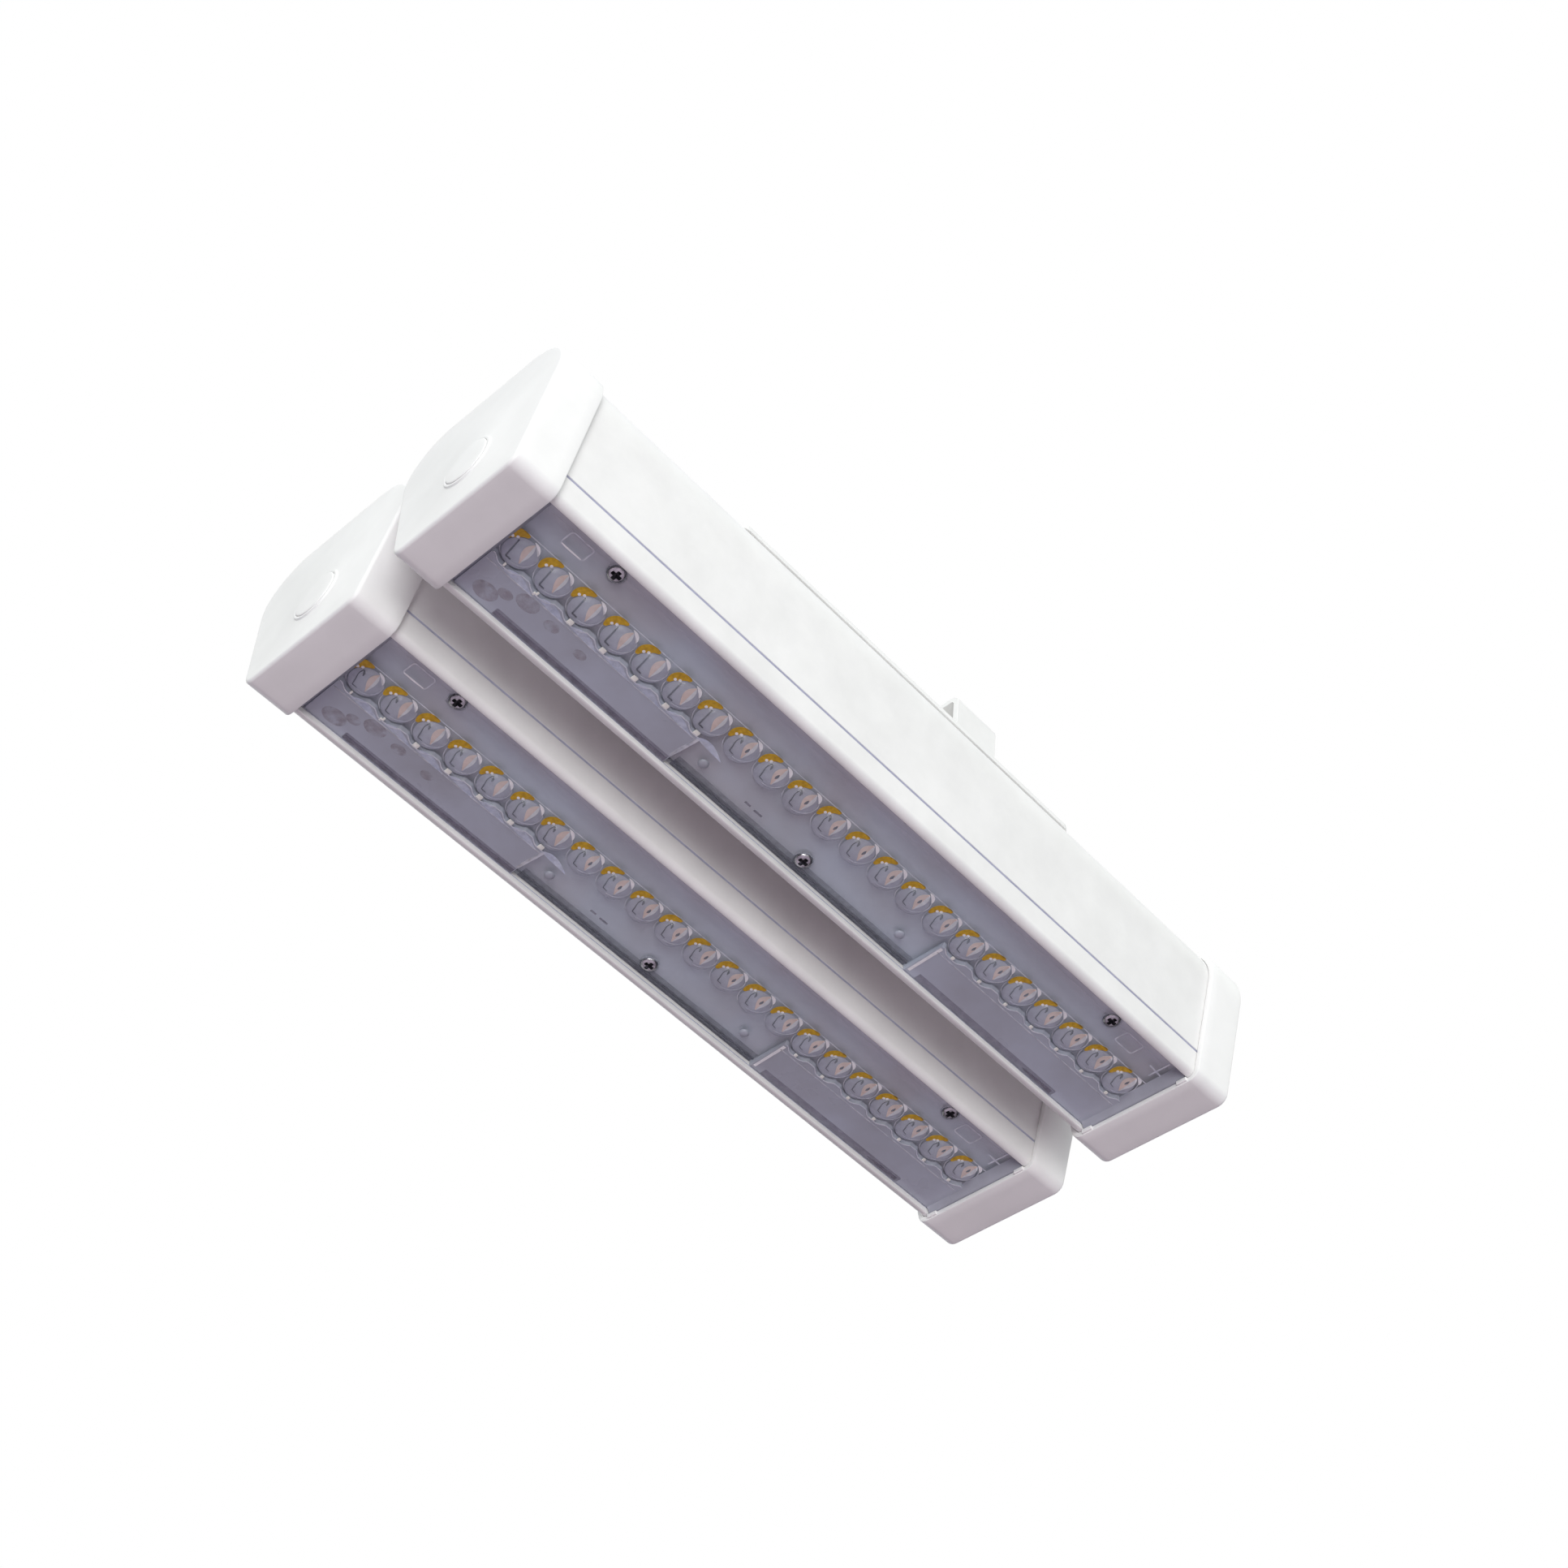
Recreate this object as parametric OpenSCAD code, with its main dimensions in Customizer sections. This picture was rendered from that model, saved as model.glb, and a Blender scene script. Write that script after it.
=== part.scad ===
// Twin-module LED luminaire: two light modules under a carrier plate, hung from a tilting yoke.
// Millimetres. X runs along the modules, Z is up, the light leaves downward.
// The origin is under the middle of the luminaire, on the plane of the end caps' undersides.

/* [Light module] */
// Length of one module over its two end caps
module_length = 315; // [300:1:330]
// Height of a module over its end caps
module_height = 59.5; // [57:0.5:63]
// Width of an end cap's underside, between the lines of its two sides
base_width = 50; // [49:0.5:54]
// Outward lean of each side, in degrees
side_lean = 11.7; // [9:0.1:13]
// Radius of the lower long edges
lower_radius = 4.5; // [4:0.1:5]
// Radius of the upper long edges
upper_radius = 16.8; // [14:0.2:19]
// Distance between the centre planes of the two modules
module_spacing = 68.5; // [68:0.5:80]
// How far the two modules are slid apart lengthwise at rest
module_stagger = 2.2; // [0:0.1:4]

/* [End caps] */
// Depth of an end cap along the module
cap_length = 16; // [12:1:22]
// Thickness of an end cap's side walls
cap_wall = 2; // [1.6:0.1:2.2]
// Thickness of an end cap's end wall
cap_end = 3; // [2.8:0.1:4]
// Height of the round plug's centre above the underside
plug_height = 22.5; // [20:0.5:26]
// Radius of the round plug
plug_radius = 8.2; // [7:0.1:10]

/* [Housing profile] */
// Wall thickness of the extruded housing
housing_wall = 2; // [1.6:0.1:2.4]
// Width of the light window
window_width = 41.4; // [40.8:0.1:42]
// Thickness of the web that carries the LED board
web_thickness = 2.5; // [2:0.1:3]
// Height of the thin shadow groove above the underside
groove_height = 11; // [9:0.5:14]

/* [Light engine] */
// Number of LEDs in the row
led_count = 22; // [10:1:22]
// Distance from one LED to the next
led_pitch = 12.7; // [12:0.05:12.75]
// Length of the lens plate
lens_length = 296; // [285:0.5:298]
// Width of the lens plate
lens_width = 41.2; // [40.8:0.1:41.2]
// Height of the lens plate's outer face above the underside
lens_level = 5.5; // [5:0.1:5.7]
// Thickness of the lens plate
lens_thickness = 1.7; // [1.5:0.1:1.8]
// Radius of a lens dome where it meets the plate
dome_radius = 5.5; // [4.5:0.1:6]
// Height of a lens dome
dome_height = 3.4; // [2.5:0.1:3.8]
// Distance of the end lens screws from mid-length
lens_screw_x = 110.5; // [100:0.5:120]
// Distance of the lens screws from the centre line
lens_screw_y = 15.6; // [15:0.1:16]
// How far the lens screws stand towards the near end
lens_screw_shift = 0.8; // [0:0.1:1]

/* [Carrier and yoke] */
// Length of the carrier plate
carrier_length = 156; // [130:1:180]
// Width of the carrier plate
carrier_width = 121; // [118:1:126]
// Thickness of the carrier plate
carrier_thickness = 2; // [1.5:0.1:2]
// Position of the carrier plate's centre along the modules
carrier_x = -3; // [-10:1:10]
// Position of the yoke and its pivot along the modules
yoke_x = 33; // [20:1:34]
// Width of the yoke's strip
yoke_strip = 19; // [16:0.5:22]
// Width of the yoke over its two legs
yoke_width = 110; // [106:1:112]
// Thickness of the yoke's sheet
yoke_thickness = 2; // [1.5:0.1:2.5]
// Height of the yoke's top face above the underside
yoke_top = 84; // [80:0.5:100]
// Height of the pivot above the carrier plate
pivot_rise = 5; // [4.8:0.1:6]
// Radius of the pivot studs
stud_radius = 2.5; // [2:0.1:3]
// Radius of the yoke's central hanging hole
hang_hole_radius = 5.25; // [4:0.25:6]
// Distance between the yoke's two screw holes
screw_hole_spacing = 70; // [50:1:80]

/* [Hidden] */
SIDES = ["a", "b"];
MODULE_PARTS = [
    "housing", "near_cap", "far_cap", "end_gaskets", "cap_screws", "cap_plugs",
    "lens_plate", "lens_seal", "lens_screws", "led_board", "led_packages",
    "gear_tray", "tray_screws", "driver_case", "driver_lid", "driver_board",
    "terminal_block", "dc_leads", "ac_leads", "gland_body", "gland_nut",
    "gland_seal", "gland_locknut", "mount_bolts", "mount_washers", "nut_bars"
];
$fn = 96;

white_paint = [0.95, 0.95, 0.95];
white_plastic = [0.93, 0.92, 0.92];
board_grey = [0.62, 0.63, 0.66];
steel = [0.72, 0.72, 0.74];
zinc = [0.66, 0.67, 0.70];
dark_rubber = [0.16, 0.16, 0.17];
clear_plastic = [0.80, 0.84, 0.90, 0.45];
phosphor = [0.85, 0.68, 0.12];
board_green = [0.16, 0.38, 0.24];

overlap = 0.5;          // how far a cutter runs past the face that it opens
half_length = module_length / 2;
lean_tan = tan(side_lean);
lean_cos = cos(side_lean);
lean_sin = sin(side_lean);
sharpest_radius = 0.3;  // of an inner corner

// Levels in a module, from the underside upward
housing_bottom = cap_wall;
housing_top = module_height - cap_wall;
board_thickness = 1.6;
led_thickness = 0.7;
board_level = lens_level + lens_thickness + 0.2;
web_level = board_level + board_thickness;
chamber_level = web_level + web_thickness;
chamber_top = housing_top - housing_wall;

// Housing
gasket_thickness = 1.5;
gasket_width = 3.5;
housing_half = half_length - cap_end - gasket_thickness;
fit_gap = 0.1;          // between an end cap and the housing inside it
groove_depth = 0.5;
groove_width = 0.6;
boss_radius = 4;
boss_hole = 2;
boss_rib = 2.4;
rail_width = 1.6;
rail_reach = 2.6;
tray_thickness = 1.2;
tray_level = 28;
tray_gap = 0.1;

// End caps
cap_screw_hole = 2.2;
counterbore_radius = 5;
counterbore_depth = 2.7;
seat_radius = 6.5;
plug_thickness = 0.9;
collar_radius = plug_radius + 1.1;
collar_height = 0.6;
clip_width = 4;
clip_reach = 0.8;
clip_offset = 19;

// Light engine
board_length = lens_length - 2;
board_width = 40;
led_size = 5;
led_pocket = 5.6;
lens_hole = 1.7;
screw_pocket_radius = 3.3;
screw_pocket_depth = 1;
rail_block_height = 1.3;
dome_sphere = (dome_radius * dome_radius + dome_height * dome_height) / (2 * dome_height);

// Gear
tray_length = 240;
driver_length = 150;
driver_width = 42;
driver_height = 20;
driver_x = 33;          // the middle of the driver, in the far half of the module
driver_wall = 1.2;
terminal_x = -74;
gland_x = -108;
gland_thread = 8;
cable_radius = 4;
wire_radius = 0.9;
wire_drop_x = 136;
wire_bend = 6;

// Fixing of the modules to the carrier plate
bolt_x = 50;
bolt_radius = 2.5;
bolt_hex = 8;
washer_radius = 6.5;
washer_thickness = 1.2;
slide_travel = 4;
slot_gap = 0.3;

// Carrier and yoke
carrier_top = housing_top + carrier_thickness;
carrier_corner = 4;
pivot_level = carrier_top + pivot_rise;
spacer_thickness = 1;
ear_thickness = 2;
ear_half_width = 6;
ear_outer = yoke_width / 2 - yoke_thickness - spacer_thickness;
ear_inner = ear_outer - ear_thickness;
leg_end_radius = pivot_rise - 0.4;
shoulder_rise = 4.5;
running_gap = 0.05;
flush_head = 3.6;
flush_depth = 1;
nut_height = 5;
bend_radius = 3;

// Half width at a given level of a module section that lies inset inside the cap's outline
function half_width(inset, level) = base_width / 2 - inset / lean_cos + level * lean_tan;

// ---- Helpers ----

module along_x(from, to) {
    translate([from, 0, 0]) rotate([90, 0, 90]) linear_extrude(to - from) children();
}

// Cylinder along X
module rod_x(from, to, radius) {
    translate([from, 0, 0]) rotate([0, 90, 0]) cylinder(h = to - from, r = radius);
}

// Cylinder along Y
module rod_y(from, to, radius) {
    translate([0, from, 0]) rotate([-90, 0, 0]) cylinder(h = to - from, r = radius);
}

// Box given by its lowest corner and its highest corner
module span_box(low, high) {
    translate(low) cube(high - low);
}

// Round-cornered plate lying in XY, centred
module round_plate(length, width, height, radius) {
    linear_extrude(height) {
        square([length - 2 * radius, width], center = true);
        square([length, width - 2 * radius], center = true);
        for (sx = [-1, 1], sy = [-1, 1]) {
            translate([sx * (length / 2 - radius), sy * (width / 2 - radius)]) circle(radius);
        }
    }
}

// Slot along X with round ends, cut through a plate
module slot_cut(length, width, from, to) {
    translate([0, 0, from]) linear_extrude(to - from) {
        square([length - width, width], center = true);
        for (s = [-1, 1]) {
            translate([s * (length - width) / 2, 0]) circle(width / 2);
        }
    }
}

// Outline of a module in the YZ plane, drawn inset inside the end cap's outline
module section(inset) {
    lower_r = max(lower_radius - inset, sharpest_radius);
    upper_r = upper_radius - inset;
    lower_z = inset + lower_r;
    upper_z = module_height - upper_radius;
    lower_y = half_width(inset + lower_r, lower_z);
    upper_y = half_width(upper_radius, upper_z);
    right = [
        [lower_y, lower_z - lower_r],
        [lower_y + lower_r * lean_cos, lower_z - lower_r * lean_sin],
        [upper_y + upper_r * lean_cos, upper_z - upper_r * lean_sin],
        [upper_y, upper_z + upper_r]
    ];
    left = [for (i = [3:-1:0]) [-right[i][0], right[i][1]]];
    polygon(concat(right, left));
    for (s = [-1, 1]) {
        translate([s * lower_y, lower_z]) circle(lower_r);
        translate([s * upper_y, upper_z]) circle(upper_r);
    }
}

// Places a part once at each end of a module, turned so that its own -X faces outward
module at_both_ends() {
    children();
    rotate([0, 0, 180]) children();
}

module at_lens_screws() {
    for (x = [-lens_screw_x, lens_screw_x]) {
        translate([x - lens_screw_shift, -lens_screw_y, 0]) children();
    }
    translate([-lens_screw_shift, lens_screw_y, 0]) children();
}

module at_leds() {
    for (i = [0:led_count - 1]) {
        translate([(i - (led_count - 1) / 2) * led_pitch, 0, 0]) children();
    }
}

module at_mount_bolts() {
    for (s = [-1, 1]) {
        translate([s * bolt_x, 0, 0]) children();
    }
}

// ---- Housing and end caps ----

module housing_section() {
    rail_low = tray_level - rail_width;
    rail_high = tray_level + tray_thickness + tray_gap;
    rail_inner = half_width(cap_wall + housing_wall, tray_level) - rail_reach;
    difference() {
        section(cap_wall);
        difference() {
            intersection() {
                section(cap_wall + housing_wall);
                translate([-module_height, chamber_level]) square([2 * module_height, module_height]);
            }
            for (s = [-1, 1], z = [rail_low, rail_high]) {
                translate([s * (rail_inner + module_height / 2), z + rail_width / 2])
                    square([module_height, rail_width], center = true);
            }
            translate([0, plug_height]) circle(boss_radius);
            translate([-boss_rib / 2, chamber_level]) square([boss_rib, plug_height - chamber_level]);
        }
        translate([0, plug_height]) circle(boss_hole);
        translate([-window_width / 2, 0]) square([window_width, web_level]);
        for (s = [-1, 1]) {
            translate([s * half_width(cap_wall, groove_height), groove_height])
                square([2 * groove_depth, groove_width], center = true);
        }
    }
}

module housing() {
    color(white_paint) difference() {
        along_x(-housing_half, housing_half) housing_section();
        at_mount_bolts() translate([0, 0, chamber_top - overlap])
            cylinder(h = housing_wall + 2 * overlap, r = bolt_radius + slot_gap);
        translate([gland_x, 0, chamber_top - overlap])
            cylinder(h = housing_wall + 2 * overlap, r = gland_thread + fit_gap);
        at_lens_screws() translate([0, 0, web_level - overlap])
            cylinder(h = web_thickness + 2 * overlap, r = lens_hole - 0.2);
        translate([wire_drop_x, -9, web_level - overlap])
            cylinder(h = web_thickness + 2 * overlap, r = 3.5);
    }
}

// The cap at the near end; the far one is the same part turned round
module end_cap() {
    outer = -half_length;
    color(white_plastic) difference() {
        union() {
            difference() {
                along_x(outer, outer + cap_length) section(0);
                along_x(outer + cap_end, outer + cap_length + overlap) section(cap_wall - fit_gap);
            }
            translate([0, 0, plug_height])
                rod_x(outer + overlap, outer + cap_end + gasket_thickness, seat_radius);
            translate([0, 0, plug_height]) rod_x(outer - collar_height, outer + overlap, collar_radius);
            for (s = [-1, 1]) {
                span_box(
                    [outer + cap_length - overlap, s * clip_offset - clip_width / 2, 0.4],
                    [outer + cap_length + clip_reach, s * clip_offset + clip_width / 2, cap_wall - fit_gap]
                );
            }
        }
        translate([0, 0, plug_height]) {
            rod_x(outer - collar_height - overlap, outer, plug_radius + fit_gap);
            rod_x(outer - overlap, outer + counterbore_depth, counterbore_radius);
            rod_x(outer, outer + cap_end + gasket_thickness + overlap, cap_screw_hole);
        }
    }
}

module near_cap() {
    end_cap();
}

module far_cap() {
    rotate([0, 0, 180]) end_cap();
}

module end_gaskets() {
    color(dark_rubber) at_both_ends() difference() {
        along_x(-housing_half - gasket_thickness, -housing_half) section(cap_wall + fit_gap);
        along_x(-half_length, half_length) section(cap_wall + gasket_width);
    }
}

module cap_screws() {
    seat = -half_length + counterbore_depth;
    color(steel) at_both_ends() translate([0, 0, plug_height]) difference() {
        union() {
            rod_x(seat - 2.4, seat, 4);
            rod_x(seat - overlap, seat + 16, boss_hole - running_gap);
        }
        for (turn = [0, 90]) {
            translate([seat - 2.4, 0, 0]) rotate([turn, 0, 0]) cube([2.4, 1, 4.6], center = true);
        }
    }
}

module cap_plugs() {
    outer = -half_length;
    color(white_plastic) at_both_ends() translate([0, 0, plug_height]) {
        rod_x(outer - plug_thickness, outer, plug_radius);
        difference() {
            rod_x(outer - overlap, outer + 1.8, counterbore_radius - fit_gap);
            rod_x(outer, outer + 2, counterbore_radius - 0.8);
        }
    }
}

// ---- Light engine ----

module lens_dome() {
    intersection() {
        translate([0, 0, lens_level - dome_height + dome_sphere]) sphere(dome_sphere);
        translate([0, 0, lens_level - dome_height - overlap])
            cylinder(h = dome_height + 2 * overlap, r = dome_radius + 1);
    }
}

module lens_plate() {
    block_low = lens_level - rail_block_height;
    color(clear_plastic) difference() {
        union() {
            translate([0, 0, lens_level]) round_plate(lens_length, lens_width, lens_thickness, 0.5);
            at_leds() lens_dome();
            span_box([-140, 6, block_low], [-56, 20.2, lens_level + overlap]);
            span_box([51, 6, block_low], [140, 20.2, lens_level + overlap]);
            for (x = [-125, 120.5]) {
                span_box([x - 4.3, -16.8, block_low + 0.7], [x + 4.3, -11.3, lens_level + overlap]);
            }
        }
        at_leds() translate([0, 0, lens_level + lens_thickness])
            cube([led_pocket, led_pocket, 2 * led_thickness + 0.4], center = true);
        at_lens_screws() translate([0, 0, lens_level - overlap]) {
            cylinder(h = lens_thickness + 2 * overlap, r = lens_hole);
            cylinder(h = screw_pocket_depth + overlap, r = screw_pocket_radius);
        }
    }
}

module lens_seal() {
    low = lens_level + lens_thickness;
    color(dark_rubber) translate([0, 0, low]) difference() {
        round_plate(lens_length, lens_width, web_level - low, 0.5);
        translate([0, 0, -overlap])
            round_plate(board_length + 0.2, board_width + 0.2, web_level - low + 2 * overlap, 0.4);
    }
}

// Pan-head cross-recess screw standing head down, with its seat at level 0
module pan_screw(head_radius, head_height, shank_radius, shank_length) {
    difference() {
        union() {
            translate([0, 0, -head_height]) cylinder(h = head_height, r = head_radius);
            cylinder(h = shank_length, r = shank_radius);
        }
        for (turn = [0, 90]) {
            translate([0, 0, -head_height]) rotate([0, 0, turn])
                cube([head_radius * 1.15, head_radius * 0.26, head_height], center = true);
        }
    }
}

module lens_screws() {
    color(steel) at_lens_screws() translate([0, 0, lens_level + screw_pocket_depth])
        pan_screw(2.9, 1.3, 1.4, 6.2);
}

module led_board() {
    color(board_grey) difference() {
        translate([0, 0, board_level]) round_plate(board_length, board_width, board_thickness, 1);
        at_lens_screws() translate([0, 0, board_level - overlap])
            cylinder(h = board_thickness + 2 * overlap, r = lens_hole);
    }
}

module led_packages() {
    color(phosphor) at_leds() translate([0, 0, board_level - led_thickness / 2])
        cube([led_size, led_size, led_thickness], center = true);
}

// ---- Control gear ----

module gear_tray() {
    half = half_width(cap_wall + housing_wall, tray_level) - 0.4;
    color(zinc) difference() {
        span_box(
            [-tray_length / 2, -half, tray_level],
            [tray_length / 2, half, tray_level + tray_thickness]
        );
        for (s = [-1, 1]) {
            translate([s * (tray_length / 2 - 8), 0, tray_level - overlap])
                cylinder(h = tray_thickness + 2 * overlap, r = 1.7);
        }
    }
}

module tray_screws() {
    color(steel) for (s = [-1, 1]) {
        translate([s * (tray_length / 2 - 8), 0, tray_level + tray_thickness])
            mirror([0, 0, 1]) pan_screw(2.9, 1.8, 1.5, tray_thickness + 1.4);
    }
}

module driver_case() {
    base = tray_level + tray_thickness;
    color(white_plastic) translate([driver_x, 0, base]) difference() {
        round_plate(driver_length, driver_width, driver_height - driver_wall, 3);
        translate([0, 0, driver_wall])
            round_plate(driver_length - 2 * driver_wall, driver_width - 2 * driver_wall, driver_height, 2);
        for (s = [-1, 1]) {
            translate([s * driver_length / 2, 0, driver_height - 4]) cube([6, 24, 5], center = true);
        }
    }
}

module driver_lid() {
    top = tray_level + tray_thickness + driver_height;
    color(white_plastic) translate([driver_x, 0, top - driver_wall])
        round_plate(driver_length, driver_width, driver_wall, 3);
}

module driver_board() {
    base = tray_level + tray_thickness + driver_wall;
    inner_width = driver_width - 2 * driver_wall - 2;
    color(board_green) translate([driver_x, 0, base + 1]) {
        round_plate(driver_length - 8, inner_width, 1.6, 1);
        translate([10, 0, 1.6]) round_plate(24, 24, 13, 1);
        translate([-38, 6, 1.6]) cylinder(h = 13, r = 6);
        translate([-38, -9, 1.6]) cylinder(h = 11, r = 5);
        translate([45, 0, 1.6]) cylinder(h = 12, r = 8);
        for (x = [-62, -18, 30]) {
            translate([x, 10, 1.6]) round_plate(8, 6, 9, 0.5);
        }
    }
}

module terminal_block() {
    base = tray_level + tray_thickness;
    color(white_plastic) difference() {
        translate([terminal_x, 0, base]) round_plate(22, 30, 14, 1);
        for (i = [-1:1]) {
            translate([terminal_x - 4, i * 9, base + 8]) cylinder(h = 8, r = 2);
            translate([0, i * 9, base + 5]) rod_x(terminal_x - 12, terminal_x + 12, 1.6);
        }
    }
}

// Two board leads: out of the driver's far end, over, and down through the web
module dc_leads() {
    top = tray_level + tray_thickness + driver_height - 4.5;
    start = driver_x + driver_length / 2 - 3;
    color(dark_rubber) for (y = [-10.2, -7.8]) {
        translate([0, y, top]) rod_x(start, wire_drop_x - wire_bend, wire_radius);
        translate([wire_drop_x - wire_bend, y, top - wire_bend]) rotate([90, 0, 0])
            rotate_extrude(angle = 90) translate([wire_bend, 0]) circle(wire_radius);
        translate([wire_drop_x, y, web_level + 0.2])
            cylinder(h = top - wire_bend - web_level - 0.2, r = wire_radius);
    }
}

// Three supply leads from the terminal block to the driver's near end
module ac_leads() {
    level = tray_level + tray_thickness + 5;
    color(dark_rubber) for (i = [-1:1]) {
        translate([0, i * 9, level])
            rod_x(terminal_x + 5, driver_x - driver_length / 2 - 0.1, wire_radius);
    }
}

// ---- Cable gland on top of a module ----

module gland_bored(from, height, radius, bore, sides) {
    translate([gland_x, 0, from]) difference() {
        cylinder(h = height, r = radius, $fn = sides);
        translate([0, 0, -overlap]) cylinder(h = height + 2 * overlap, r = bore);
    }
}

module gland_body() {
    color(white_plastic) {
        gland_bored(housing_top - 10, 10 + overlap, gland_thread, 5.5, $fn);
        gland_bored(housing_top, 5, 11.5, 5.5, 6);
        gland_bored(housing_top + 5 - overlap, 6, 7.5, 5.5, $fn);
    }
}

module gland_nut() {
    color(white_plastic) {
        gland_bored(housing_top + 5.3, 7, 11, 7.6, 6);
        gland_bored(housing_top + 12.3 - overlap, 3 + overlap, 9, cable_radius + 0.5, $fn);
    }
}

module gland_seal() {
    color(dark_rubber) gland_bored(housing_top + 1, 10.6, 5.4, cable_radius, $fn);
}

module gland_locknut() {
    color(white_plastic) gland_bored(chamber_top - 5, 5, 11, gland_thread + fit_gap, 6);
}

// ---- Fixing of a module to the carrier plate ----

module mount_bolts() {
    color(zinc) at_mount_bolts() {
        translate([0, 0, chamber_top - 6])
            cylinder(h = carrier_top + washer_thickness - chamber_top + 6, r = bolt_radius);
        translate([0, 0, carrier_top + washer_thickness])
            cylinder(h = 4, r = bolt_hex / sqrt(3), $fn = 6);
    }
}

module mount_washers() {
    color(zinc) at_mount_bolts() translate([0, 0, carrier_top]) difference() {
        cylinder(h = washer_thickness, r = washer_radius);
        translate([0, 0, -overlap]) cylinder(h = washer_thickness + 2 * overlap, r = bolt_radius + 0.1);
    }
}

module nut_bars() {
    color(zinc) at_mount_bolts() translate([0, 0, chamber_top - 4]) difference() {
        round_plate(18, 14, 4, 1);
        translate([0, 0, -overlap]) cylinder(h = 4 + 2 * overlap, r = bolt_radius + running_gap);
    }
}

// ---- Carrier plate and yoke ----

module at_pivots() {
    translate([yoke_x, 0, pivot_level]) children();
    translate([yoke_x, 0, pivot_level]) mirror([0, 1, 0]) children();
}

// Upturned lug of the carrier plate, with the pivot at its own origin
module ear_outline() {
    circle(ear_half_width - 1);
    polygon([
        [-ear_half_width, -pivot_rise - carrier_thickness / 2],
        [ear_half_width, -pivot_rise - carrier_thickness / 2],
        [ear_half_width - 1, 0],
        [-ear_half_width + 1, 0]
    ]);
}

module carrier_plate() {
    slot_length = 2 * (bolt_radius + slide_travel + slot_gap);
    color(white_paint) difference() {
        union() {
            translate([carrier_x, 0, housing_top])
                round_plate(carrier_length, carrier_width, carrier_thickness, carrier_corner);
            at_pivots() translate([0, ear_outer, 0]) rotate([90, 0, 0])
                linear_extrude(ear_thickness) ear_outline();
        }
        for (s = [-1, 1], x = [-bolt_x, bolt_x]) {
            translate([x, s * module_spacing / 2, 0]) slot_cut(
                slot_length,
                2 * (bolt_radius + slot_gap),
                housing_top - overlap,
                carrier_top + overlap
            );
        }
        at_pivots() {
            rod_y(ear_inner - overlap, ear_outer + overlap, stud_radius + running_gap);
            span_box(
                [-ear_half_width - 1, ear_inner - 11, -pivot_rise - carrier_thickness - overlap],
                [ear_half_width + 1, ear_inner, -pivot_rise + overlap]
            );
        }
    }
}

// Side view of a yoke leg in XZ, with the pivot at its own origin
module leg_outline() {
    half = yoke_strip / 2;
    corner_reach = norm([half, shoulder_rise]);
    touch = atan(shoulder_rise / half) - acos(leg_end_radius / corner_reach);
    touch_x = leg_end_radius * cos(touch);
    touch_z = leg_end_radius * sin(touch);
    circle(leg_end_radius);
    polygon([
        [-touch_x, touch_z],
        [touch_x, touch_z],
        [half, shoulder_rise],
        [half, yoke_top],
        [-half, yoke_top],
        [-half, shoulder_rise]
    ]);
}

// Front view of the bent strip in YZ
module strip_outline() {
    height = yoke_top - pivot_level + leg_end_radius;
    inner_radius = bend_radius - yoke_thickness + 0.5;
    difference() {
        bent_block(yoke_width / 2, height, bend_radius);
        bent_block(yoke_width / 2 - yoke_thickness, height - yoke_thickness, inner_radius);
    }
}

// Block that stands on the yoke's lowest level, with its two upper corners rounded
module bent_block(half, height, radius) {
    base = pivot_level - leg_end_radius;
    translate([-half, base]) square([2 * half, height - radius]);
    translate([-half + radius, base]) square([2 * (half - radius), height]);
    for (s = [-1, 1]) {
        translate([s * (half - radius), base + height - radius]) circle(radius);
    }
}

module yoke() {
    color(white_paint) difference() {
        intersection() {
            along_x(yoke_x - yoke_strip / 2, yoke_x + yoke_strip / 2) strip_outline();
            translate([yoke_x, yoke_width, pivot_level]) rotate([90, 0, 0])
                linear_extrude(2 * yoke_width) leg_outline();
        }
        at_pivots() {
            rod_y(yoke_width / 2 - yoke_thickness - overlap, yoke_width / 2, stud_radius + running_gap);
            rod_y(yoke_width / 2 - flush_depth - running_gap, yoke_width / 2 + overlap,
                flush_head + running_gap);
        }
        translate([yoke_x, 0, yoke_top - yoke_thickness - overlap]) {
            cylinder(h = yoke_thickness + 2 * overlap, r = hang_hole_radius);
            for (s = [-1, 1]) {
                translate([0, s * screw_hole_spacing / 2, 0])
                    cylinder(h = yoke_thickness + 2 * overlap, r = 3.25);
            }
        }
    }
}

module pivot_studs() {
    outer = yoke_width / 2;
    color(zinc) at_pivots() {
        rod_y(ear_inner - nut_height - 1.5, outer - overlap, stud_radius);
        rod_y(outer - flush_depth, outer, flush_head);
    }
}

module pivot_washers() {
    color(dark_rubber) at_pivots() difference() {
        rod_y(ear_outer, ear_outer + spacer_thickness, 4.5);
        rod_y(ear_outer - overlap, ear_outer + spacer_thickness + overlap, stud_radius + running_gap);
    }
}

module pivot_nuts() {
    color(zinc) at_pivots() difference() {
        translate([0, ear_inner - nut_height, 0]) rotate([-90, 0, 0])
            cylinder(h = nut_height, r = 8 / sqrt(3), $fn = 6);
        rod_y(ear_inner - nut_height - overlap, ear_inner + overlap, stud_radius + running_gap);
    }
}

// ---- Assembly ----

yoke();
pivot_studs();
pivot_washers();
pivot_nuts();
carrier_plate();

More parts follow.
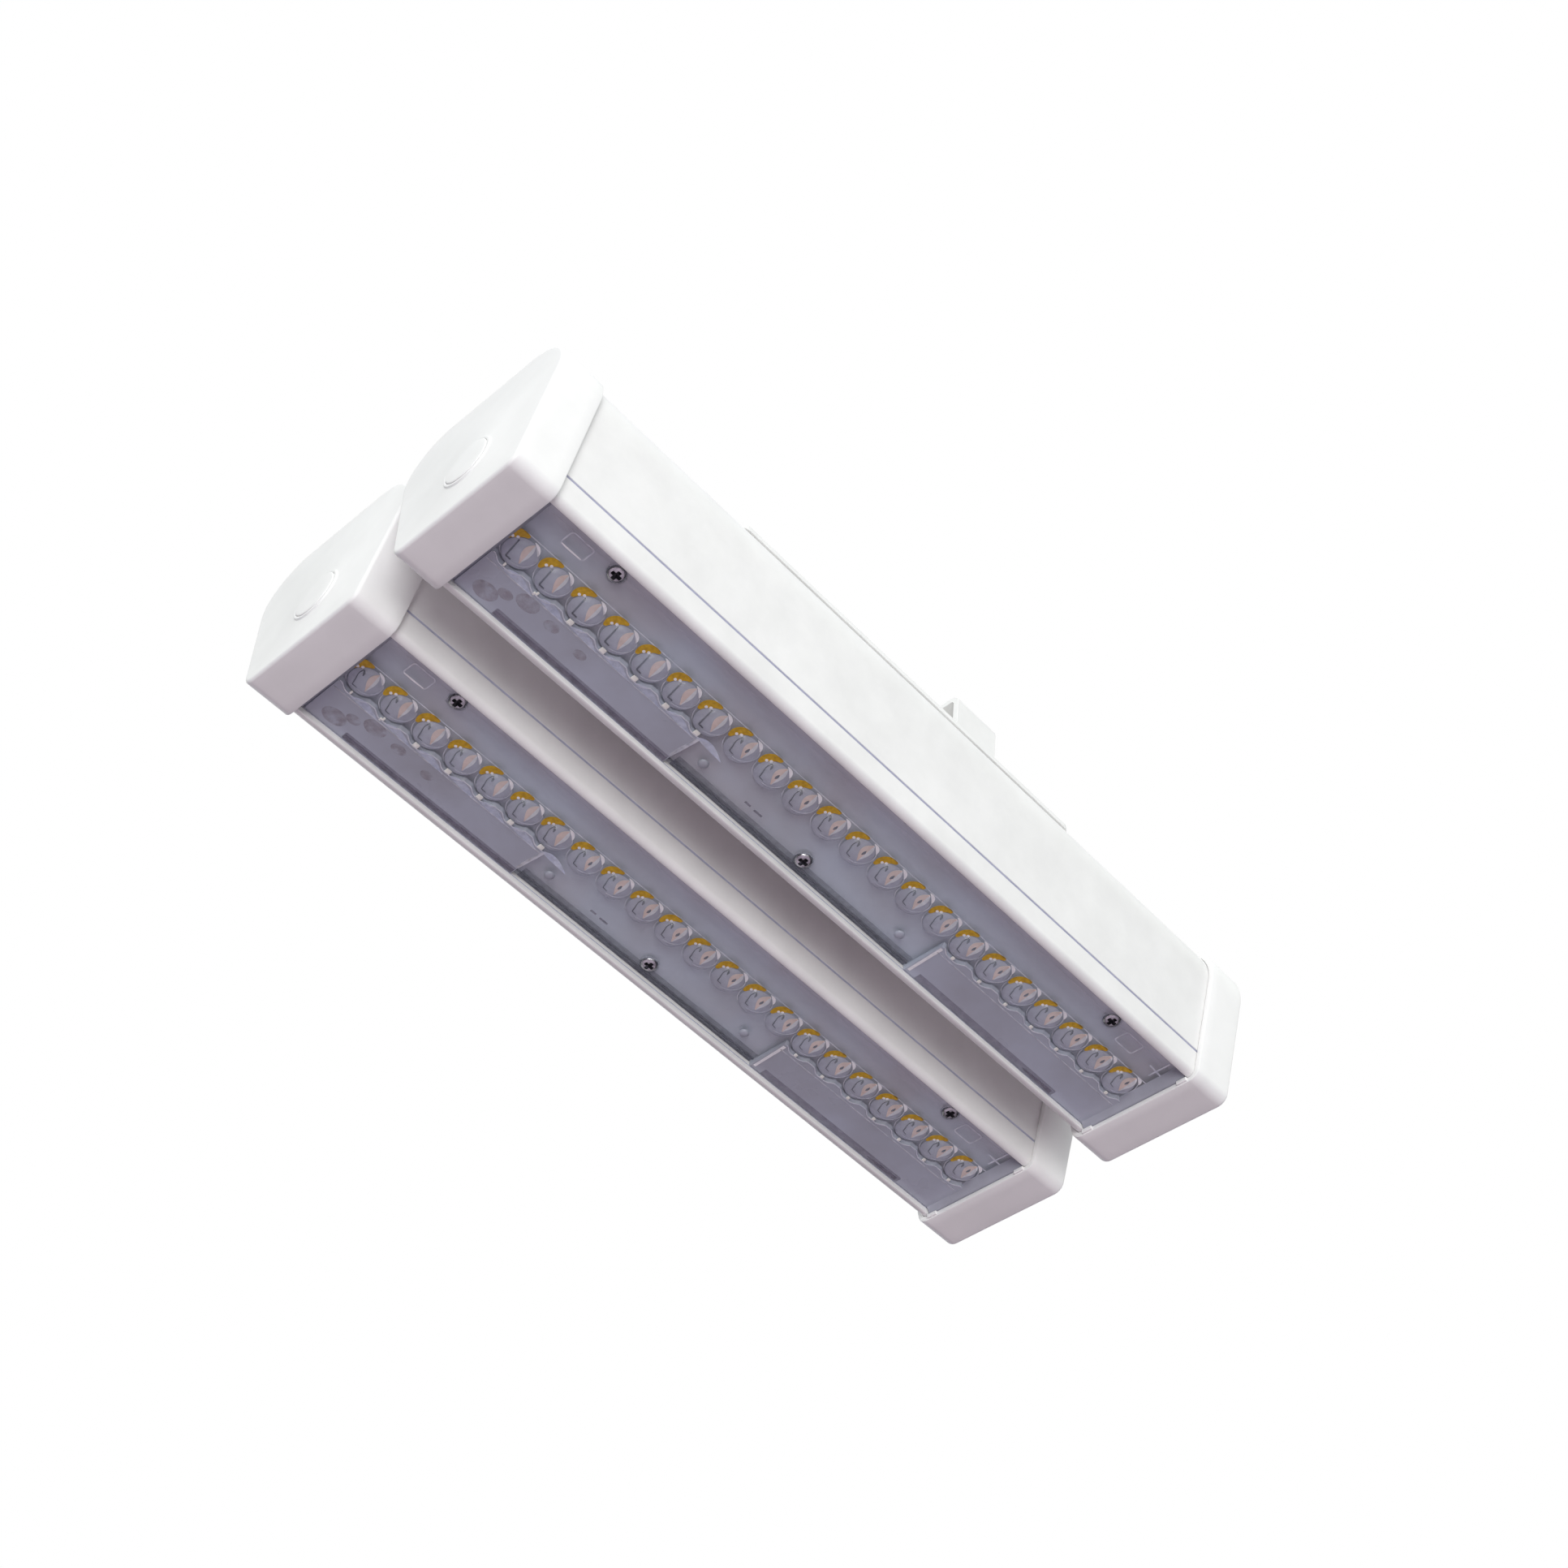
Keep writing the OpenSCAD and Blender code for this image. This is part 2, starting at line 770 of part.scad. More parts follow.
module module_part(part) {
    if (part == "housing") housing();
    if (part == "near_cap") near_cap();
    if (part == "far_cap") far_cap();
    if (part == "end_gaskets") end_gaskets();
    if (part == "cap_screws") cap_screws();
    if (part == "cap_plugs") cap_plugs();
    if (part == "lens_plate") lens_plate();
    if (part == "lens_seal") lens_seal();
    if (part == "lens_screws") lens_screws();
    if (part == "led_board") led_board();
    if (part == "led_packages") led_packages();
    if (part == "gear_tray") gear_tray();
    if (part == "tray_screws") tray_screws();
    if (part == "driver_case") driver_case();
    if (part == "driver_lid") driver_lid();
    if (part == "driver_board") driver_board();
    if (part == "terminal_block") terminal_block();
    if (part == "dc_leads") dc_leads();
    if (part == "ac_leads") ac_leads();
    if (part == "gland_body") gland_body();
    if (part == "gland_nut") gland_nut();
    if (part == "gland_seal") gland_seal();
    if (part == "gland_locknut") gland_locknut();
    if (part == "mount_bolts") mount_bolts();
    if (part == "mount_washers") mount_washers();
    if (part == "nut_bars") nut_bars();
}

// Module a hangs on the -Y side and module b on the +Y side
for (i = [0, 1], part = MODULE_PARTS) {
    turn = 2 * i - 1;
    translate([turn * module_stagger / 2, turn * module_spacing / 2, 0]) module_part(part);
}
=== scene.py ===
import math

import bpy
from mathutils import Matrix, Vector
from mathutils.geometry import tessellate_polygon


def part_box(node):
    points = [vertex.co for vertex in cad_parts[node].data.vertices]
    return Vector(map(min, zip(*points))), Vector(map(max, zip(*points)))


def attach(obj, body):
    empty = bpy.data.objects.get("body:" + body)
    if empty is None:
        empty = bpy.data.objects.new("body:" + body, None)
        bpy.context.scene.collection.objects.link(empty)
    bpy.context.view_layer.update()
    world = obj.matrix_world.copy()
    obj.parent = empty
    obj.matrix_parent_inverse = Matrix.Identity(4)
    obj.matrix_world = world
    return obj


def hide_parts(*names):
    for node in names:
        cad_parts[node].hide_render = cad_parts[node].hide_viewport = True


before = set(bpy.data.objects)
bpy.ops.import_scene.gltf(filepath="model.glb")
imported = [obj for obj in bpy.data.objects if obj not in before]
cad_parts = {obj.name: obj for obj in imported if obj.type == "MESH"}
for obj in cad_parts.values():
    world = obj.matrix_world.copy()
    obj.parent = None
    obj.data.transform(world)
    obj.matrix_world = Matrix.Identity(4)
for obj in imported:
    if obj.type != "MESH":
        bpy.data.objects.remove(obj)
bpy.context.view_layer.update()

MM = 0.001


def box_mm(node):
    """Lowest and highest corner of a CAD node, in millimetres."""
    low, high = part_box(node)
    return low / MM, high / MM


def module_origin(side):
    """The middle of a module between its end walls, at the level of its underside."""
    near_low, near_high = box_mm("near_cap_" + side)
    far_high = box_mm("far_cap_" + side)[1]
    return Vector(((near_low.x + far_high.x) / 2, (near_low.y + near_high.y) / 2, 0))


# ---------------------------------------------------------------- measures, most of them from the CAD frame

ORIGIN = {side: module_origin(side) for side in "ab"}
CAP_LO, CAP_HI = box_mm("near_cap_a")
HOUSING_LO, HOUSING_HI = box_mm("housing_a")
BOARD_LO, BOARD_HI = box_mm("led_board_a")
LENS_LO, LENS_HI = box_mm("lens_plate_a")

# end caps and their plugs
CLIP_REACH = 0.8  # how far the clips reach past a cap's rim
COLLAR = 0.6  # how far the ring round a plug stands out past the end wall's edges
HALF = (box_mm("far_cap_a")[1].x - CAP_LO.x) / 2 - COLLAR  # from a module's middle to an end wall
CAP_LENGTH = CAP_HI.x - CAP_LO.x - COLLAR - CLIP_REACH
PLUG_Z = 22.5  # height of the plugs' axis
PLUG_R = 8.2

# the modules' section
HEIGHT = CAP_HI.z
LEAN = math.radians(11.7)  # how far the sides lean outward
LOWER_R = 4.5
UPPER_R = 16.8
BASE_HALF = (  # half the width, with the straight sides carried down to level 0
    (CAP_HI.y - CAP_LO.y) / 2
    - UPPER_R
    + UPPER_R / math.cos(LEAN)
    - (HEIGHT - UPPER_R) * math.tan(LEAN)
)
HOUSING_HALF = (HOUSING_HI.x - HOUSING_LO.x) / 2
WALL = HOUSING_LO.z  # how far the housing's skin lies inside the caps'
GROOVE_LOW, GROOVE_HIGH = 10.6, 11.4
WINDOW_HALF = 20.7
WEB_LOW = BOARD_HI.z
WEB_HIGH = WEB_LOW + 2.5

# lens plate, its rails and domes, and the row of sources
LENS_HALF_X = LENS_HI.x - ORIGIN["a"].x
LENS_HALF_Y = LENS_HI.y - ORIGIN["a"].y
LENS_Z = 5.5  # the plate's lower face, which its domes and rails stand on
RAIL_Z = LENS_Z - 1.3  # the rails' lowest level
NEAR_RAIL = (-139.5, -56)  # where the rails begin and end along X
FAR_RAIL = (51, 141.5)
SCREW_SEAT = LENS_Z + 1.0  # floor of the screws' pockets
LENS_SCREWS = [(-111.3, -15.6), (-0.8, 15.6), (109.7, -15.6)]
PITCH = 12.7
LEDS = [(i - 10.5) * PITCH for i in range(22)]
DOME_R = 5.5
DOME_H = LENS_Z - LENS_LO.z
DOME_SPHERE = (DOME_R**2 + DOME_H**2) / (2 * DOME_H)  # radius of the sphere that a dome is cut from
DOME_CENTRE = LENS_Z - DOME_H + DOME_SPHERE


# ---------------------------------------------------------------- mesh building, in millimetres


class Shape:
    """Vertices and faces of one piece while it is being made."""

    def __init__(self):
        self.verts = []
        self.faces = []
        self.groups = []

    def add(self, verts, faces, group=0):
        base = len(self.verts)
        self.verts += [Vector(v) for v in verts]
        self.faces += [[base + i for i in f] for f in faces]
        self.groups += [group] * len(faces)

    def loft(self, rings, closed=False, caps=(False, False), group=0, group_of=None):
        """Quads between rings of equal length, each ring closed on itself."""
        n = len(rings[0])
        verts = [p for ring in rings for p in ring]
        faces = []
        steps = len(rings) if closed else len(rings) - 1
        for k in range(steps):
            a = k * n
            b = ((k + 1) % len(rings)) * n
            faces += [[a + i, a + (i + 1) % n, b + (i + 1) % n, b + i] for i in range(n)]
        if caps[0]:
            faces.append(list(range(n))[::-1])
        if caps[1]:
            last = (len(rings) - 1) * n
            faces.append([last + i for i in range(n)])
        start = len(self.groups)
        self.add(verts, faces, group)
        if group_of:
            for k in range(steps * n):
                self.groups[start + k] = group_of(k % n)

    def about_face(self):
        """A copy turned half a turn about Z, as the far end has it."""
        out = Shape()
        spin = Matrix.Rotation(math.pi, 3, "Z")
        out.verts = [spin @ v for v in self.verts]
        out.faces = [list(f) for f in self.faces]
        out.groups = list(self.groups)
        return out

    def merge(self, other):
        base = len(self.verts)
        self.verts += other.verts
        self.faces += [[base + i for i in f] for f in other.faces]
        self.groups += other.groups


def arc(centre, radius, start, end, steps):
    """Points along an arc between two angles in degrees."""
    angles = [math.radians(start + (end - start) * i / steps) for i in range(steps + 1)]
    return [(centre[0] + radius * math.cos(t), centre[1] + radius * math.sin(t)) for t in angles]


def half_width(inset, level):
    """Half the width of the section at a level, with its sides moved in by the inset."""
    return BASE_HALF - inset / math.cos(LEAN) + level * math.tan(LEAN)


def outline_right(inset, groove=0.0):
    """Right half of a module section, from the underside up to the top, as (y, z)."""
    low_r = max(LOWER_R - inset, 0.3)
    up_r = UPPER_R - inset
    low_z = inset + low_r
    low_y = half_width(inset + low_r, low_z)
    up_z = HEIGHT - UPPER_R
    up_y = half_width(UPPER_R, up_z)
    lean = math.degrees(LEAN)
    points = arc((low_y, low_z), low_r, -90, -lean, 12)
    first, last = points[-1], (up_y + up_r * math.cos(LEAN), up_z - up_r * math.sin(LEAN))
    if groove:
        steps = ((-0.1, 0), (0, 0.1), (0.05, groove))
        levels = [(GROOVE_LOW + rise, deep) for rise, deep in steps]
        levels += [(GROOVE_HIGH - rise, deep) for rise, deep in steps[::-1]]
        points += [(half_width(inset, z) - deep, z) for z, deep in levels]
    for i in range(1, 12):
        t = i / 12
        z = first[1] + (last[1] - first[1]) * t
        if groove and z < GROOVE_HIGH + 0.8:
            continue
        points.append((first[0] + (last[0] - first[0]) * t, z))
    points += arc((up_y, up_z), up_r, -lean, 90, 20)
    return points


def outline(inset):
    """Whole module section as a closed ring of (y, z), counter-clockwise from the underside's middle."""
    right = outline_right(inset)
    y0, z0 = right[0]
    y1, z1 = right[-1]
    bottom = [(y0 * i / 8, z0) for i in range(8)]
    top = [(y1 * (1 - i / 5), z1) for i in range(1, 5)]
    half = bottom + right + top
    left = [(-y, z) for y, z in half[1:]][::-1]
    return half + [(0.0, z1)] + left


def at_x(x, ring):
    return [(x, y, z) for y, z in ring]


RING = outline(0)
RING_ANGLES = [math.atan2(z - PLUG_Z, y) for y, z in RING]


def disc_ring(x, radius):
    """Circle round the plug's axis, whose points lie in the same directions as the outline's."""
    return [(x, radius * math.cos(t), PLUG_Z + radius * math.sin(t)) for t in RING_ANGLES]


def turned(profile, count, base, axis="Z"):
    """Rings of a body of revolution. The profile is (distance along the axis, radius)."""
    rings = []
    for along, radius in profile:
        ring = []
        for i in range(count):
            t = 2 * math.pi * i / count
            u, v = radius * math.cos(t), radius * math.sin(t)
            place = (along, u, v) if axis == "X" else (u, v, along)
            ring.append(tuple(b + p for b, p in zip(base, place)))
        rings.append(ring)
    return rings


def rounded_rectangle(low, high, radius, steps):
    """Ring of (x, y), counter-clockwise."""
    x0, y0 = low
    x1, y1 = high
    radius = max(radius, 0.01)
    ring = []
    for cx, cy, start in (
        (x1 - radius, y0 + radius, -90),
        (x1 - radius, y1 - radius, 0),
        (x0 + radius, y1 - radius, 90),
        (x0 + radius, y0 + radius, 180),
    ):
        ring += arc((cx, cy), radius, start, start + 90, steps)
    return ring


def soft_plate(low, high, corner, edge):
    """Rings of a plate lying in XY with round corners and rounded edges."""
    steps, corner_steps = 3, 6
    rings = []
    quarter = [math.radians(90 * i / steps) for i in range(steps + 1)]
    levels = [(low[2] + edge * (1 - math.cos(t)), edge * (1 - math.sin(t))) for t in quarter]
    levels += [(high[2] - edge * (1 - math.sin(t)), edge * (1 - math.cos(t))) for t in quarter]
    for z, inset in levels:
        near, far = (low[0] + inset, low[1] + inset), (high[0] - inset, high[1] - inset)
        ring = rounded_rectangle(near, far, corner - inset, corner_steps)
        rings.append([(x, y, z) for x, y in ring])
    return rings


def soft_box(low, high, corner, edge):
    """Box with round upright corners and rounded edges above and below."""
    shape = Shape()
    shape.loft(soft_plate(low, high, corner, edge), caps=(True, True))
    return shape


def cross_radius(t, half_length, half_breadth):
    """Distance to the outline of a cross with arms along both axes, in the direction t."""
    c, s = abs(math.cos(t)), abs(math.sin(t))
    big, small = max(c, s), max(min(c, s), 1e-6)
    return min(half_length / big, half_breadth / small)


def pan_head(centre, seat, height, radius):
    """Cross-recess pan-head screw with its head pointing down, standing on the level seat."""
    shank, shank_radius = 6.0, 1.4
    arm, breadth = radius * 0.6, radius * 0.22
    arm_corner = math.atan2(breadth, arm)
    angles = [2 * math.pi * i / 40 for i in range(40)]
    for k in range(4):
        quarter = k * math.pi / 2
        angles += [quarter + arm_corner, quarter - arm_corner, quarter + math.pi / 4]
    angles = sorted(set(round(a % (2 * math.pi), 6) for a in angles))

    def ring(level, size, cross=False):
        out = []
        for t in angles:
            r = cross_radius(t, arm * size, breadth * size) if cross else size
            out.append((centre[0] + r * math.cos(t), centre[1] + r * math.sin(t), seat - level))
        return out

    rings = [ring(-shank, shank_radius), ring(0, shank_radius)]
    rings += [ring(0, radius * 0.96), ring(0.12 * height, radius)]
    for i in range(1, 8):
        t = math.radians(90 * i / 8)
        rings.append(ring(height * (0.3 + 0.7 * math.sin(t)), radius * (0.62 + 0.38 * math.cos(t))))
    rings.append(ring(height, radius * 0.6))
    recess = [(0.99, 1.03), (0.9, 0.97), (0.25, 0.62), (0.1, 0.3)]
    rings += [ring(height * level, size, True) for level, size in recess]
    shape = Shape()
    shape.loft(rings, caps=(True, True))
    # The recess rings take the second material, the recess's painted shade.
    first_shaded = (len(rings) - len(recess)) * len(angles)
    shape.groups[first_shaded:] = [1] * (len(shape.groups) - first_shaded)
    shape.groups[-2] = 0
    return shape


# ---------------------------------------------------------------- materials


class Surface:
    """A procedural node material while it is being wired."""

    def __init__(self, name):
        self.material = bpy.data.materials.new(name)
        self.material.use_nodes = True
        self.tree = self.material.node_tree
        self.shader = self.tree.nodes["Principled BSDF"]
        self.where = self.tree.nodes.new("ShaderNodeTexCoord").outputs["Object"]

    def node(self, kind, inputs=None, **settings):
        made = self.tree.nodes.new(kind)
        for key, value in settings.items():
            setattr(made, key, value)
        for key, value in (inputs or {}).items():
            if hasattr(value, "is_output"):
                self.tree.links.new(value, made.inputs[key])
            else:
                made.inputs[key].default_value = value
        return made

    def link(self, source, target):
        self.tree.links.new(source, target)

    def noise(self, scale, detail, roughness=0.55, stretch=None):
        where = self.where
        if stretch:
            where = self.node("ShaderNodeMapping", {"Vector": where, "Scale": stretch}).outputs["Vector"]
        made = self.node(
            "ShaderNodeTexNoise", {"Vector": where, "Scale": scale, "Detail": detail, "Roughness": roughness}
        )
        return made.outputs["Fac"]

    def ramp(self, factor, stops):
        made = self.node("ShaderNodeValToRGB", {"Fac": factor})
        elements = made.color_ramp.elements
        while len(elements) < len(stops):
            elements.new(0.5)
        for element, (place, colour) in zip(elements, stops):
            element.position = place
            element.color = (*colour, 1)
        return made.outputs["Color"]

    def spread(self, factor, low, high, source=(0.3, 0.7)):
        made = self.node(
            "ShaderNodeMapRange",
            {"Value": factor, "From Min": source[0], "From Max": source[1], "To Min": low, "To Max": high},
        )
        return made.outputs["Result"]

    def mix(self, factor, a, b, blend="MIX"):
        made = self.node("ShaderNodeMix", data_type="RGBA", blend_type=blend)
        for key, value in (("Factor", factor), ("A", a), ("B", b)):
            sockets = [s for s in made.inputs if s.name == key and s.enabled]
            socket = sockets[-1] if key != "Factor" else sockets[0]
            if hasattr(value, "is_output"):
                self.tree.links.new(value, socket)
            else:
                socket.default_value = value if key == "Factor" else (*value, 1)
        return [s for s in made.outputs if s.enabled][-1]

    def bump(self, height, strength, distance, under=None):
        inputs = {"Height": height, "Strength": strength, "Distance": distance}
        if under is not None:
            inputs["Normal"] = under
        return self.node("ShaderNodeBump", inputs).outputs["Normal"]


def srgb(r, g, b):
    def linear(v):
        v /= 255
        return v / 12.92 if v <= 0.04045 else ((v + 0.055) / 1.055) ** 2.4

    return tuple(linear(v) for v in (r, g, b))


def finish_of(name, dark, light, grain, rough, bumps, metal=0.0, specular=0.5, coat=0.0):
    """A surface with mottled colour, uneven gloss and a fine relief in one or two sizes."""
    s = Surface(name)
    mottle = s.noise(grain, 5.0, 0.6)
    s.link(s.ramp(mottle, [(0.32, dark), (0.68, light)]), s.shader.inputs["Base Color"])
    s.link(s.spread(s.noise(grain * 3.1, 3.0, 0.5), *rough), s.shader.inputs["Roughness"])
    normal = None
    for scale, strength in bumps:
        normal = s.bump(s.noise(scale, 3.0, 0.5), strength, 0.0001, normal)
    s.link(normal, s.shader.inputs["Normal"])
    s.shader.inputs["Metallic"].default_value = metal
    s.shader.inputs["Specular IOR Level"].default_value = specular
    s.shader.inputs["Coat Weight"].default_value = coat
    return s


def make_materials():
    m = {}
    m["white_paint"] = finish_of(
        "white_powder_coat", srgb(228, 227, 226), srgb(236, 235, 234), 60, (0.34, 0.44),
        [(2600, 0.10), (700, 0.05)], specular=0.45,
    ).material
    m["white_plastic"] = finish_of(
        "white_moulded_plastic", srgb(238, 237, 236), srgb(244, 243, 242), 45, (0.38, 0.5),
        [(3000, 0.06), (300, 0.02)], specular=0.4,
    ).material
    m["screw_steel"] = finish_of(
        "bright_screw_steel", srgb(150, 150, 156), srgb(214, 214, 218), 500, (0.2, 0.4),
        [(2200, 0.15)], metal=1.0,
    ).material
    m["zinc_steel"] = finish_of(
        "zinc_plated_steel", srgb(150, 152, 156), srgb(196, 197, 200), 220, (0.28, 0.5),
        [(1500, 0.12)], metal=1.0,
    ).material
    m["black_rubber"] = finish_of(
        "black_rubber", srgb(22, 22, 24), srgb(40, 40, 42), 300, (0.6, 0.8), [(1800, 0.2)], specular=0.3,
    ).material
    m["black_nylon"] = finish_of(
        "black_nylon", srgb(26, 26, 28), srgb(46, 46, 48), 260, (0.42, 0.6), [(1500, 0.15)], specular=0.4,
    ).material
    m["gland_nylon"] = finish_of(
        "gland_nylon", srgb(205, 204, 202), srgb(218, 217, 214), 160, (0.38, 0.52),
        [(1700, 0.1)], specular=0.45,
    ).material
    m["green_board"] = finish_of(
        "green_circuit_board", srgb(20, 84, 46), srgb(34, 110, 62), 420, (0.3, 0.45),
        [(900, 0.12)],
    ).material
    m["lead_sleeve"] = finish_of(
        "lead_sleeve", srgb(40, 40, 44), srgb(64, 64, 70), 350, (0.45, 0.6), [(1400, 0.12)], specular=0.4,
    ).material
    m["phosphor"] = finish_of(
        "led_phosphor", srgb(176, 134, 10), srgb(214, 172, 34), 900, (0.35, 0.5), [(1800, 0.1)],
    ).material
    m["board_mask"] = board_material().material
    m["clear_lens"] = lens_material().material
    # Painted highlights on the clear lens: rim streaks, glints and bright edges.
    m["lens_highlight"] = finish_of(
        "lens_highlight", srgb(226, 226, 230), srgb(246, 245, 246), 500, (0.15, 0.3), [(900, 0.1)], coat=0.3,
    ).material
    # Painted highlights along edges in the moulding.
    m["lens_edge_highlights"] = see_through_paint("lens_edge_highlights", srgb(216, 220, 234), srgb(240, 240, 246), (0.4, 0.75))
    m["lens_leaf"] = see_through_paint("lens_leaf", srgb(240, 241, 243), srgb(250, 250, 252), (0.75, 0.95))
    m["lens_pink"] = see_through_paint("lens_pink", srgb(240, 208, 188), srgb(246, 220, 204), (0.8, 1.0))
    m["lens_bowl"] = finish_of(
        "lens_bowl", srgb(164, 165, 178), srgb(182, 184, 198), 420, (0.3, 0.5), [(900, 0.1)],
    ).material
    # Painted highlight on the rails' facets between their posts.
    m["rail_facet_highlight"] = see_through_paint("rail_facet_highlight", srgb(206, 214, 236), srgb(226, 232, 246), (0.35, 0.7))
    m["lens_shadow"] = finish_of(
        "lens_shadow", srgb(30, 28, 42), srgb(58, 56, 72), 700, (0.3, 0.5), [(900, 0.1)],
    ).material
    # Painted shadow in the gap beside the wall, also the colour of the dashes and the notch.
    m["lens_gap_shadow_and_marks"] = see_through_paint("lens_gap_shadow_and_marks", srgb(112, 108, 124), srgb(146, 142, 158), (0.35, 0.5))
    # Painted shade along the wall between the rails.
    m["lens_painted_wall_shade"] = see_through_paint("lens_painted_wall_shade", srgb(104, 106, 120), srgb(124, 126, 140), (0.1, 0.2))
    m["lens_brown"] = see_through_paint("lens_brown", srgb(150, 128, 130), srgb(160, 142, 146), (0.0, 0.2))
    m["rail_plastic"] = finish_of(
        "rail_plastic", srgb(160, 162, 172), srgb(176, 182, 196), 26, (0.25, 0.4), [(900, 0.08)],
    ).material
    m["lens_end"] = finish_of(
        "lens_end", srgb(156, 157, 168), srgb(172, 174, 186), 60, (0.3, 0.45), [(900, 0.08)],
    ).material
    # Posts of the rails, and the painted glints near the first domes.
    m["post_and_glint_white"] = finish_of(
        "post_and_glint_white", srgb(236, 234, 226), srgb(250, 249, 242), 500, (0.2, 0.35), [(900, 0.1)], coat=0.3,
    ).material
    m["groove_shade"] = finish_of(
        "groove_shade", srgb(198, 200, 216), srgb(210, 212, 226), 400, (0.5, 0.7), [(1500, 0.1)],
    ).material
    # Painted shade: the screws' cross recesses are drawn near black.
    m["recess_painted_shade"] = finish_of(
        "recess_painted_shade", srgb(14, 14, 20), srgb(34, 34, 42), 700, (0.4, 0.6), [(1500, 0.15)],
    ).material
    return m


def see_through_paint(name, dark, light, cover):
    """Colour laid in the clear moulding, more or less see-through from place to place: for the painted
    highlights, the reflections, the painted shadow and shade, and the faint blotches.
    """
    s = finish_of(name, dark, light, 300, (0.15, 0.3), [(900, 0.1)])
    s.link(s.spread(s.noise(420, 3.0), *cover), s.shader.inputs["Alpha"])
    return s.material


def board_material():
    """Pale grey solder mask with faint warm clouds and a fine grain."""
    s = Surface("board_solder_mask")
    clouds = s.noise(26, 3.0, 0.5)
    fine = s.noise(420, 4.0, 0.6)
    tints = [(0.36, srgb(212, 210, 212)), (0.5, srgb(216, 223, 229)), (0.7, srgb(223, 232, 239))]
    base = s.ramp(clouds, tints)
    shade = s.ramp(fine, [(0.3, (0.93, 0.93, 0.94)), (0.7, (1.0, 1.0, 1.0))])
    s.link(s.mix(1.0, base, shade, "MULTIPLY"), s.shader.inputs["Base Color"])
    s.link(s.spread(fine, 0.42, 0.58), s.shader.inputs["Roughness"])
    s.link(s.bump(s.noise(900, 2.0), 0.12, 0.0001), s.shader.inputs["Normal"])
    s.shader.inputs["Specular IOR Level"].default_value = 0.35
    return s


def lens_material():
    """Clear moulded plastic: mostly see-through, glossy, with soft flow marks, and painted light along the -Y
    edge, where it turns paler and less see-through.
    """
    s = Surface("clear_lens_plastic")
    flow = s.noise(30, 4.0, 0.55, (1.0, 2.2, 1.0))
    where = s.node("ShaderNodeTexCoord")
    split = s.node("ShaderNodeSeparateXYZ")
    s.link(where.outputs["Generated"], split.inputs[0])
    # Mask of the painted light along the -Y edge: 1 at the edge, 0 from a sixth of the way in.
    edge = s.spread(split.outputs["Y"], 1.0, 0.0, (0.01, 0.17))
    base = s.ramp(flow, [(0.34, srgb(188, 191, 200)), (0.62, srgb(202, 212, 226))])
    painted_edge_light = s.ramp(flow, [(0.34, srgb(236, 238, 244)), (0.62, srgb(246, 248, 254))])
    s.link(s.mix(edge, base, painted_edge_light), s.shader.inputs["Base Color"])
    s.link(s.spread(s.noise(160, 3.0), 0.08, 0.2), s.shader.inputs["Roughness"])
    s.link(s.bump(s.noise(220, 2.0), 0.12, 0.0003), s.shader.inputs["Normal"])
    s.link(s.spread(edge, 0.24, 0.42, (0.0, 1.0)), s.shader.inputs["Alpha"])
    s.shader.inputs["IOR"].default_value = 1.49
    s.shader.inputs["Specular IOR Level"].default_value = 0.6
    return s


MATERIALS = make_materials()


def put(name, shape, body, slot, at, stands_for, material=None, others=(), sharp=32):
    """Makes the piece from a shape in millimetres, and gives it its body and surface: the named material,
    else the slot's.
    """
    mesh = bpy.data.meshes.new(name)
    mesh.from_pydata([(v + at) * MM for v in shape.verts], [], shape.faces)
    mesh.materials.append(MATERIALS[material or slot])
    for other in others:
        mesh.materials.append(MATERIALS[other])
    for polygon, group in zip(mesh.polygons, shape.groups):
        polygon.use_smooth = True
        polygon.material_index = group
    mesh.update()
    mesh.set_sharp_from_angle(angle=math.radians(sharp))
    piece = bpy.data.objects.new(name, mesh)
    bpy.context.scene.collection.objects.link(piece)
    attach(piece, body)
    if stands_for:
        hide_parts(*stands_for)


# ---------------------------------------------------------------- end caps and plugs


def end_cap(clips):
    """Near end cap at local coordinates, as one closed skin through its screw hole."""
    outer = -HALF
    rim = outer + CAP_LENGTH
    edge_r = 1.2
    round_start = rim - 0.45
    rings = [at_x(rim, outline(0.45)), at_x(rim - 0.13, outline(0.13)), at_x(round_start, outline(0))]
    for i in range(1, 5):
        rings.append(at_x(round_start + (outer + edge_r - round_start) * i / 4, outline(0)))
    for i in range(1, 7):
        t = math.radians(90 * i / 6)
        rings.append(at_x(outer + edge_r * (1 - math.sin(t)), outline(edge_r * (1 - math.cos(t)))))
    collar = [
        (0, 9.75), (-0.08, 9.5), (-0.35, 9.3), (-0.52, 9.18), (-COLLAR, 8.95),
        (-COLLAR, 8.6), (-0.5, 8.36), (-0.2, 8.3), (0, 8.3),
    ]
    hole, boss, floor = 2.2, 6.5, 3.0
    pocket = [(0, 5.0), (2.7, 5.0), (2.7, hole), (4.5, hole)]
    stub = [(4.5, boss - 0.2), (4.3, boss), (floor + 0.2, boss), (floor, boss + 0.2)]
    rings += [disc_ring(outer + along, radius) for along, radius in collar + pocket + stub]
    inside = [
        (outer + floor, 2.6), (outer + 3.2, 2.1), (outer + 3.7, 1.9),
        (rim - 0.3, 1.9), (rim - 0.08, 1.81), (rim, 1.6),
    ]
    rings += [at_x(x, outline(inset)) for x, inset in inside]
    shape = Shape()
    shape.loft([ring[::-1] for ring in rings], closed=True)
    for y in (-19, 19) if clips else ():
        shape.merge(soft_box((rim - 0.6, y - 2, 0.4), (rim + CLIP_REACH, y + 2, 1.9), 0.35, 0.3))
    return shape


